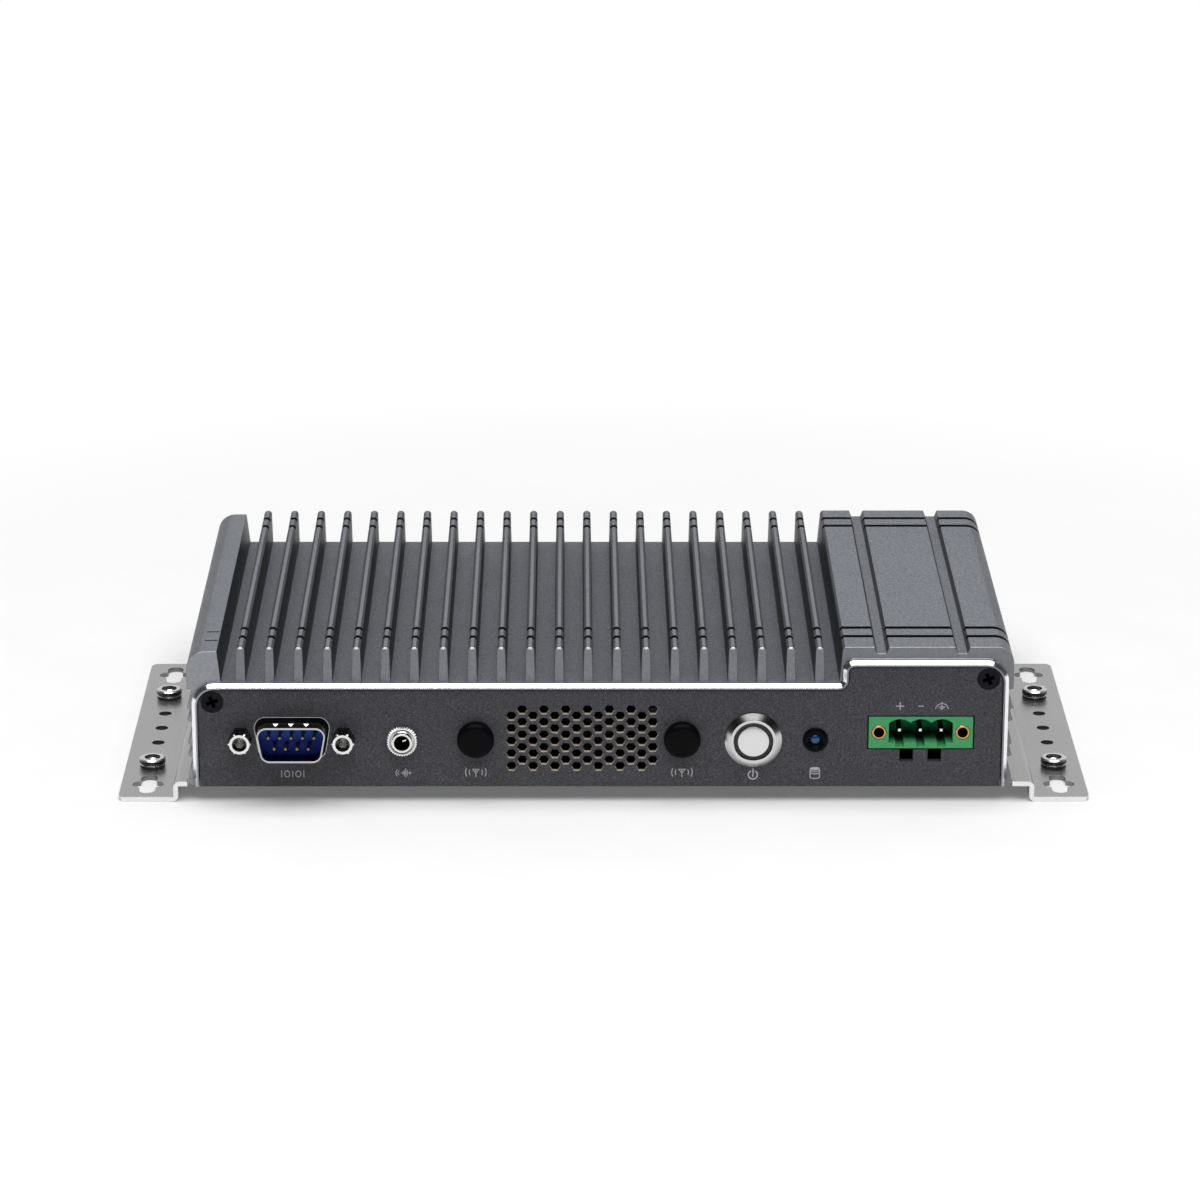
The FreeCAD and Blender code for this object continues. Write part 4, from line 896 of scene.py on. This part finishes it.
def audio_socket():
    """Knurled nut, chamfered sleeve and the spring contact in its bore."""
    place = fronts("audio_nut")
    out, back, _ = reaches("audio_sleeve")
    height = reaches("audio_nut")[0]
    bore = 1.8
    sleeve = 2.98
    turned_piece(
        "knurled_nut", place, "-y",
        [(3.02, 0.0), (3.02, height - 0.2), (3.2, height), (3.7, height, 0.08), (3.97, height - 0.3, 0.1),
         (3.97, 0.1), (3.85, 0.0)],
        materials["nut_metal"], "nut_metal", replaced=["audio_nut"],
        shape=knurled(36, 0.28, 3.6), points=knurl_points, bored=True)
    turned_piece(
        "chamfered_sleeve", place, "-y",
        [(bore, out - 0.2), (1.95, out), (2.5, out, 0.12), (2.5, height), (sleeve, height - 0.5),
         (sleeve, -back), (bore, -back)],
        turned_nickel, "nut_metal", replaced=["audio_sleeve"], bored=True)
    spring_contact(place[0], out)


def spring_contact(place, out):
    """Strip that bends inward from the wall of the audio bore, through (side, rise, depth) points."""
    half_width = 0.16
    thickness = 0.2
    work = bmesh.new()
    rows = []
    for side, rise, depth in ((1.6, 0.75, 1.6), (1.0, 0.45, 1.2), (0.1, 0.05, 1.4)):
        corners = [Vector((side, back + depth - out, rise + step))
                   for step in (-half_width, half_width) for back in (0.0, thickness)]
        rows.append([work.verts.new(place + corner * MM) for corner in corners])
    for row, after in zip(rows, rows[1:]):
        for a, b in ((0, 1), (1, 3), (3, 2), (2, 0)):
            work.faces.new((row[a], row[b], after[b], after[a]))
    for row in (rows[0], rows[-1]):
        work.faces.new((row[0], row[1], row[3], row[2]))
    new_piece("spring_contact", to_mesh("spring_contact", work), materials["nut_metal"])


def antenna_plugs():
    """Smooth snap-in plugs in place of the faceted ones."""
    neck = 3.1
    for side in ("left", "right"):
        name = "antenna_plug_" + side
        out, back, edge = reaches(name)
        turned_piece(
            "domed_plug_" + side, fronts(name), "-y",
            [(axis_flat, out), (edge - 0.95, out - 0.12, 1.0), (edge - 0.35, out - 0.45, 0.3),
             (edge, out - 1.1, 0.6), (edge, 0.1), (edge - 0.1, 0.0), (neck, 0.0), (neck, -2.05),
             (3.7, -2.05), (neck, -back)],
            materials["plug_plastic"], "plug_plastic", replaced=[name])


def power_button():
    """Turned bezel with barrel, domed disc and smoked light ring."""
    place = fronts("button_cap")
    height, length, bezel = reaches("button_body")
    dome, plunger_back, _ = reaches("button_cap")
    ring_top, ring_root, ring = reaches("button_light_ring")
    barrel = 6.0
    disc = 3.8
    plunger = 2.5
    turned_piece(
        "turned_bezel", place, "-y",
        [(ring + 0.05, height - 0.1), (ring + 0.15, height), (5.55, height, 0.06), (bezel, 0.32, 0.08),
         (bezel, 0.0), (barrel, 0.0), (barrel, -length), (plunger + 0.05, -length),
         (plunger + 0.05, -5.0), (ring + 0.05, -5.0)],
        bezel_steel(), "stainless", replaced=["button_body"], bored=True, points=button_points)
    turned_piece(
        "domed_disc", place, "-y",
        [(axis_flat, dome), (1.5, dome - 0.02), (3.0, dome - 0.09), (disc, dome - 0.2, 0.08),
         (disc, -ring_root), (4.7, -ring_root), (4.7, -3.0), (plunger, -3.0), (plunger, -plunger_back)],
        brushed_disc(), "stainless", body="power_button", replaced=["button_cap"], points=button_points)
    turned_piece(
        "smoked_light_ring", place, "-y",
        [(disc + 0.05, ring_top - 0.1), (disc + 0.2, ring_top), (ring - 0.1, ring_top),
         (ring, ring_top - 0.1), (ring, -ring_root), (disc + 0.05, -ring_root)],
        materials["light_ring"], "light_ring", body="power_button", replaced=["button_light_ring"],
        bored=True, points=button_points)


def disk_lamp():
    """Round-nosed lens in its turned holder."""
    place = fronts("lamp_lens")
    height, back, outer = reaches("lamp_holder")
    nose, root, _ = reaches("lamp_lens")
    lens = 1.4
    bore = lens + 0.02
    turned_piece(
        "turned_lamp_holder", place, "-y",
        [(bore, -0.1), (1.5, 0.15), (outer - 0.75, height, 0.15), (outer, height - 0.35, 0.2), (outer, 0.0),
         (2.5, 0.0), (2.5, -back), (bore, -back)],
        materials["plug_plastic"], "black_plastic", replaced=["lamp_holder"], bored=True)
    dome = []
    for step in range(9):
        angle = math.radians(90 - 10 * step)
        dome.append((max(axis_flat, lens * math.cos(angle)), nose - 0.9 * (1 - math.sin(angle))))
    turned_piece(
        "domed_lens", place, "-y", dome + [(lens, nose - 1.0), (lens, -root)],
        materials["lamp_blue"], "lamp_blue", replaced=["lamp_lens"])


def supply_socket():
    """Threaded inserts and pins with tapered tips."""
    low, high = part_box("supply_inserts")
    length = (high.y - low.y) / MM
    insert = 1.78
    bore = 1.06
    outline = [(1.3, 0.0), (1.6, 0.0, 0.05), (insert, -0.15), (insert, -length), (bore, -length)]
    outline += thread(bore, 0.16, 0.3 - length, -0.3, 0.45)
    turned_piece("threaded_inserts", fronts("supply_inserts"), "-y", outline, materials["brass_insert"],
                 "brass_insert", replaced=["supply_inserts"], bored=True)
    work = bmesh.new()
    spin = Matrix.Rotation(math.radians(45), 4, "Z")
    for low, high in solids("supply_pins"):
        size = (high - low) / MM
        half = size.x / math.sqrt(2)
        foot = Vector(((low.x + high.x) / 2, low.y, high.z - size.x / 2 * MM))
        pin = [(half * 0.66, 0.0), (half, -0.6), (half, -size.y)]
        turned(work, pin, pointing("-y", foot) @ spin, points=4)
        leg = Matrix.Translation((foot.x, high.y - size.x / 2 * MM, high.z - size.x * MM))
        turned(work, [(half, 0.0), (half * 0.9, size.x - size.z)], leg @ spin, points=4)
    new_piece("tapered_pins", to_mesh("tapered_pins", work), pin_tin,
              replaced=["supply_pins"])


def press_nuts():
    """Round press nuts with a plain foot, a polished collar and a threaded bore."""
    low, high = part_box("clinch_nuts")
    total = (high.z - low.z) / MM
    sheet = (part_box("bracket_left")[0].z - low.z) / MM + 1.2
    collar = 3.22
    groove = 2.95
    foot = 3.12
    body = 2.65
    bore = 1.7
    places = [Vector(((a.x + b.x) / 2, (a.y + b.y) / 2, a.z)) for a, b in solids("clinch_nuts")]
    outline = [
        (1.95, total), (2.85, total, 0.12), (collar, total - 0.35, 0.2), (collar, total - 1.25, 0.08),
        (groove, total - 1.4), (groove, total - 1.55), (foot, total - 1.65), (foot, sheet), (body, sheet),
        (body, 0.0), (bore, 0.0)] + thread(bore, 0.22, 0.2, total - 0.3, 0.5)
    turned_piece("press_nuts", places, "z", outline, press_nickel, "nut_metal",
                 replaced=["clinch_nuts"], bored=True)


def ribbon(work, line, width, lift, closed=False):
    """Adds a flat line on the panel through (x, z) points in millimetres."""
    count = len(line)
    sides = []
    for index in range(count):
        here = Vector(line[index])
        before = Vector(line[index - 1]) if closed or index else here
        after = Vector(line[(index + 1) % count]) if closed or index < count - 1 else here
        ahead = (after - here).normalized() if after != here else Vector((0.0, 0.0))
        behind = (here - before).normalized() if before != here else Vector((0.0, 0.0))
        way = (ahead + behind).normalized()
        normal = Vector((-way.y, way.x))
        lean = max(0.5, normal.dot(Vector((-ahead.y, ahead.x)))) if ahead.length else 1.0
        offset = normal * (width / 2) / lean
        sides.append((here + offset, here - offset))
    for index in range(count if closed else count - 1):
        a, b = sides[index]
        d, c = sides[(index + 1) % count]
        spots = [Vector((spot.x * MM, panel_y - lift, spot.y * MM)) for spot in (a, b, c, d)]
        work.faces.new([work.verts.new(spot) for spot in spots])


def arc(x, z, radius_x, radius_z, start, end, steps=16):
    """Points on an arc between two angles in degrees."""
    points = []
    for step in range(steps + 1):
        angle = math.radians(start + (end - start) * step / steps)
        points.append((x + radius_x * math.cos(angle), z + radius_z * math.sin(angle)))
    return points


def upright(x, low, high):
    """Open upright line of a symbol."""
    return [(x, low), (x, high)], False


def level(z, left, right):
    """Open level line of a symbol."""
    return [(left, z), (right, z)], False


def print_piece(name, lines, width, fields=()):
    """Printed symbol from (points, closed) lines and filled outlines."""
    work = bmesh.new()
    for line, closed in lines:
        ribbon(work, line, width, paint_lift, closed)
    for field in fields:
        work.faces.new([work.verts.new((x * MM, panel_y - paint_lift, z * MM)) for x, z in field])
    mesh = bpy.data.meshes.new(name)
    bmesh.ops.remove_doubles(work, verts=work.verts, dist=1e-7)
    work.to_mesh(mesh)
    work.free()
    new_piece(name, mesh, print_paint)


def sign_place(node_name, height):
    """Place of a symbol, in millimetres: in line with a node, at a height above the panel's lower edge."""
    return centre(node_name).x / MM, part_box("front_panel")[0].z / MM + height


def port_signs():
    """Symbols of the serial port, the audio socket and the antennas."""
    x, z = sign_place("serial_insulator", 3.25)
    lines = [upright(x + step, z - 0.85, z + 0.85) for step in (-2.7, 0.0, 2.7)]
    lines += [(arc(x + step, z, 0.62, 0.8, 0, 345), True) for step in (-1.35, 1.35)]
    print_piece("serial_sign", lines, 0.22)

    x, z = sign_place("audio_sleeve", 3.5)
    lines = [(arc(x - 0.7, z, 0.9, 1.15, 130, 230, 8), False),
             (arc(x - 0.3, z, 0.8, 0.75, 130, 230, 8), False)]
    lines += [upright(x + step, z - tall, z + tall)
              for step, tall in ((0.1, 0.4), (0.45, 0.85), (0.8, 1.15), (1.15, 0.7))]
    lines += [level(z, x - 0.4, x + 2.1), ([(x + 1.6, z + 0.4), (x + 2.1, z), (x + 1.6, z - 0.4)], False)]
    print_piece("audio_sign", lines, 0.16)

    for side in ("left", "right"):
        x, z = sign_place("antenna_plug_" + side, 3.45)
        lines = [upright(x, z - 1.0, z + 1.0),
                 ([(x - 0.8, z + 1.0), (x, z - 0.05), (x + 0.8, z + 1.0)], True)]
        for radius in (1.6, 2.5):
            lines += [(arc(x, z + 0.2, radius, radius, start, start + 52, 6), False) for start in (-26, 154)]
        print_piece("antenna_sign_" + side, lines, 0.2)


def lamp_signs():
    """Symbols of the power button and the disk lamp."""
    x, z = sign_place("button_cap", 3.0)
    print_piece("power_sign", [(arc(x, z, 1.12, 1.12, 115, 425), False), upright(x, z - 0.5, z + 1.6)], 0.32)

    x, z = sign_place("lamp_lens", 3.5)
    half = 1.15
    sides = [(x - half, z + 0.95), (x - half, z - 1.15)] + arc(x, z - 1.15, half, 0.32, 190, 350, 8)
    sides += [(x + half, z - 1.15), (x + half, z + 0.95)]
    lines = [(sides, False)]
    lines += [(arc(x, z + height, half, 0.36, 185, 355, 10), False) for height in (0.72, 0.12)]
    print_piece("disk_sign", lines, 0.24, [arc(x, z + 1.12, 1.22, 0.40, 0, 337, 15)])


def supply_signs():
    """Plus, minus and earth above the supply pins."""
    rise = 6.83
    z = centre("supply_inserts").z / MM + rise
    plus, minus, earth = [pin.x / MM - 0.1 for pin in fronts("supply_pins")]
    print_piece("plus_sign", [level(z, plus - 1.0, plus + 1.0), upright(plus, z - 1.0, z + 1.0)], 0.26)
    print_piece("minus_sign", [level(z, minus - 0.6, minus + 0.6)], 0.26)
    lines = [(arc(earth, z - 0.9, 1.55, 1.55, 8, 172), False), upright(earth, z - 0.2, z + 1.15)]
    lines += [level(z - low, earth - wide, earth + wide)
              for wide, low in ((0.85, 0.2), (0.5, 0.55), (0.2, 0.9))]
    print_piece("earth_sign", lines, 0.2)


def floor_paint():
    """White paint that shows the object's shadow near it and turns plain white further away."""
    made, tree = new_material("floor_paint")
    paint = cloudy(tree, noise(tree, 30.0), 0.80, 0.82)
    diffuse = node(tree, "ShaderNodeBsdfDiffuse", {"Color": paint})
    path = node(tree, "ShaderNodeLightPath").outputs
    seen = either(tree, path["Is Camera Ray"], path["Is Glossy Ray"], path["Is Transmission Ray"])
    lift = node(tree, "ShaderNodeEmission", {"Strength": calc(tree, "MULTIPLY", seen, 0.10)})
    near_look = node(tree, "ShaderNodeAddShader", {0: diffuse.outputs[0], 1: lift.outputs[0]})
    white = node(tree, "ShaderNodeEmission", {"Strength": seen})
    distance = node(tree, "ShaderNodeVectorMath", {0: place_of(tree)}, operation="LENGTH").outputs["Value"]
    far = ramp(tree, distance, [(0.17, 0.0), (0.31, 1.0)])
    total = node(tree, "ShaderNodeMixShader", {0: far, 1: near_look.outputs[0], 2: white.outputs[0]})
    output = node(tree, "ShaderNodeOutputMaterial")
    tree.links.new(total.outputs[0], output.inputs["Surface"])
    return made


def studio_floor():
    size = 14.0
    work = bmesh.new()
    bmesh.ops.create_grid(work, x_segments=2, y_segments=2, size=size / 2)
    mesh = bpy.data.meshes.new("floor")
    work.to_mesh(mesh)
    work.free()
    floor = bpy.data.objects.new("floor", mesh)
    floor.location.z = -0.02 * MM
    bpy.context.scene.collection.objects.link(floor)
    mesh.materials.append(floor_paint())


def studio_sky():
    """Grey room that is lighter behind the object, seen as plain white."""
    world = bpy.data.worlds.new("studio_world")
    bpy.context.scene.world = world
    world.use_nodes = True
    tree = world.node_tree
    tree.nodes.clear()
    around = node(tree, "ShaderNodeTexCoord").outputs["Generated"]
    direction = node(tree, "ShaderNodeSeparateXYZ", {0: around}).outputs
    sky = ramp(tree, calc(tree, "MULTIPLY_ADD", direction["Y"], 0.5, 0.5),
               [(0.40, 0.05), (0.60, 0.16), (0.90, 0.62)])
    path = node(tree, "ShaderNodeLightPath")
    shown = mix(tree, path.outputs["Is Camera Ray"], sky, grey(1.0))
    background = node(tree, "ShaderNodeBackground", {"Color": shown, "Strength": 1.0})
    output = node(tree, "ShaderNodeOutputWorld")
    tree.links.new(background.outputs[0], output.inputs["Surface"])


def soft_light(name, place, size_x, size_y, brightness):
    """Rectangular lamp that shines on the object from a place."""
    data = bpy.data.lights.new(name, "AREA")
    data.shape = "RECTANGLE"
    data.size = size_x
    data.size_y = size_y
    data.energy = brightness * math.pi * size_x * size_y
    lamp = bpy.data.objects.new(name, data)
    lamp.location = place
    lamp.rotation_euler = Vector(place).to_track_quat("Z", "Y").to_euler()
    bpy.context.scene.collection.objects.link(lamp)


def camera():
    data = bpy.data.cameras.new("camera")
    data.lens = camera_lens
    data.sensor_width = camera_sensor
    data.clip_start = camera_near
    made = bpy.data.objects.new("camera", data)
    bpy.context.scene.collection.objects.link(made)
    view = Matrix.Rotation(math.radians(camera_turn), 4, "Z")
    view = view @ Matrix.Rotation(math.radians(90 - camera_tilt_down), 4, "X")
    view = view @ Matrix.Rotation(math.radians(camera_roll), 4, "Z")
    made.matrix_world = Matrix.Translation(camera_place) @ view
    bpy.context.scene.camera = made


# Object
dress_cad_nodes()
screw_pieces()
serial_pins()
jackscrews()
shell_dimples()
shell_root_shade()
audio_socket()
antenna_plugs()
power_button()
disk_lamp()
supply_socket()
press_nuts()
port_signs()
lamp_signs()
supply_signs()

# Studio: floor, room, a wide lamp overhead and a narrow one high in front
studio_floor()
studio_sky()
soft_light("top_light", (0.0, -0.25, 1.5), size_x=1.7, size_y=1.4, brightness=3.2)
soft_light("front_light", (0.0, -0.92, 1.18), size_x=1.0, size_y=0.5, brightness=3.0)
camera()
bpy.context.scene.view_settings.view_transform = "Standard"
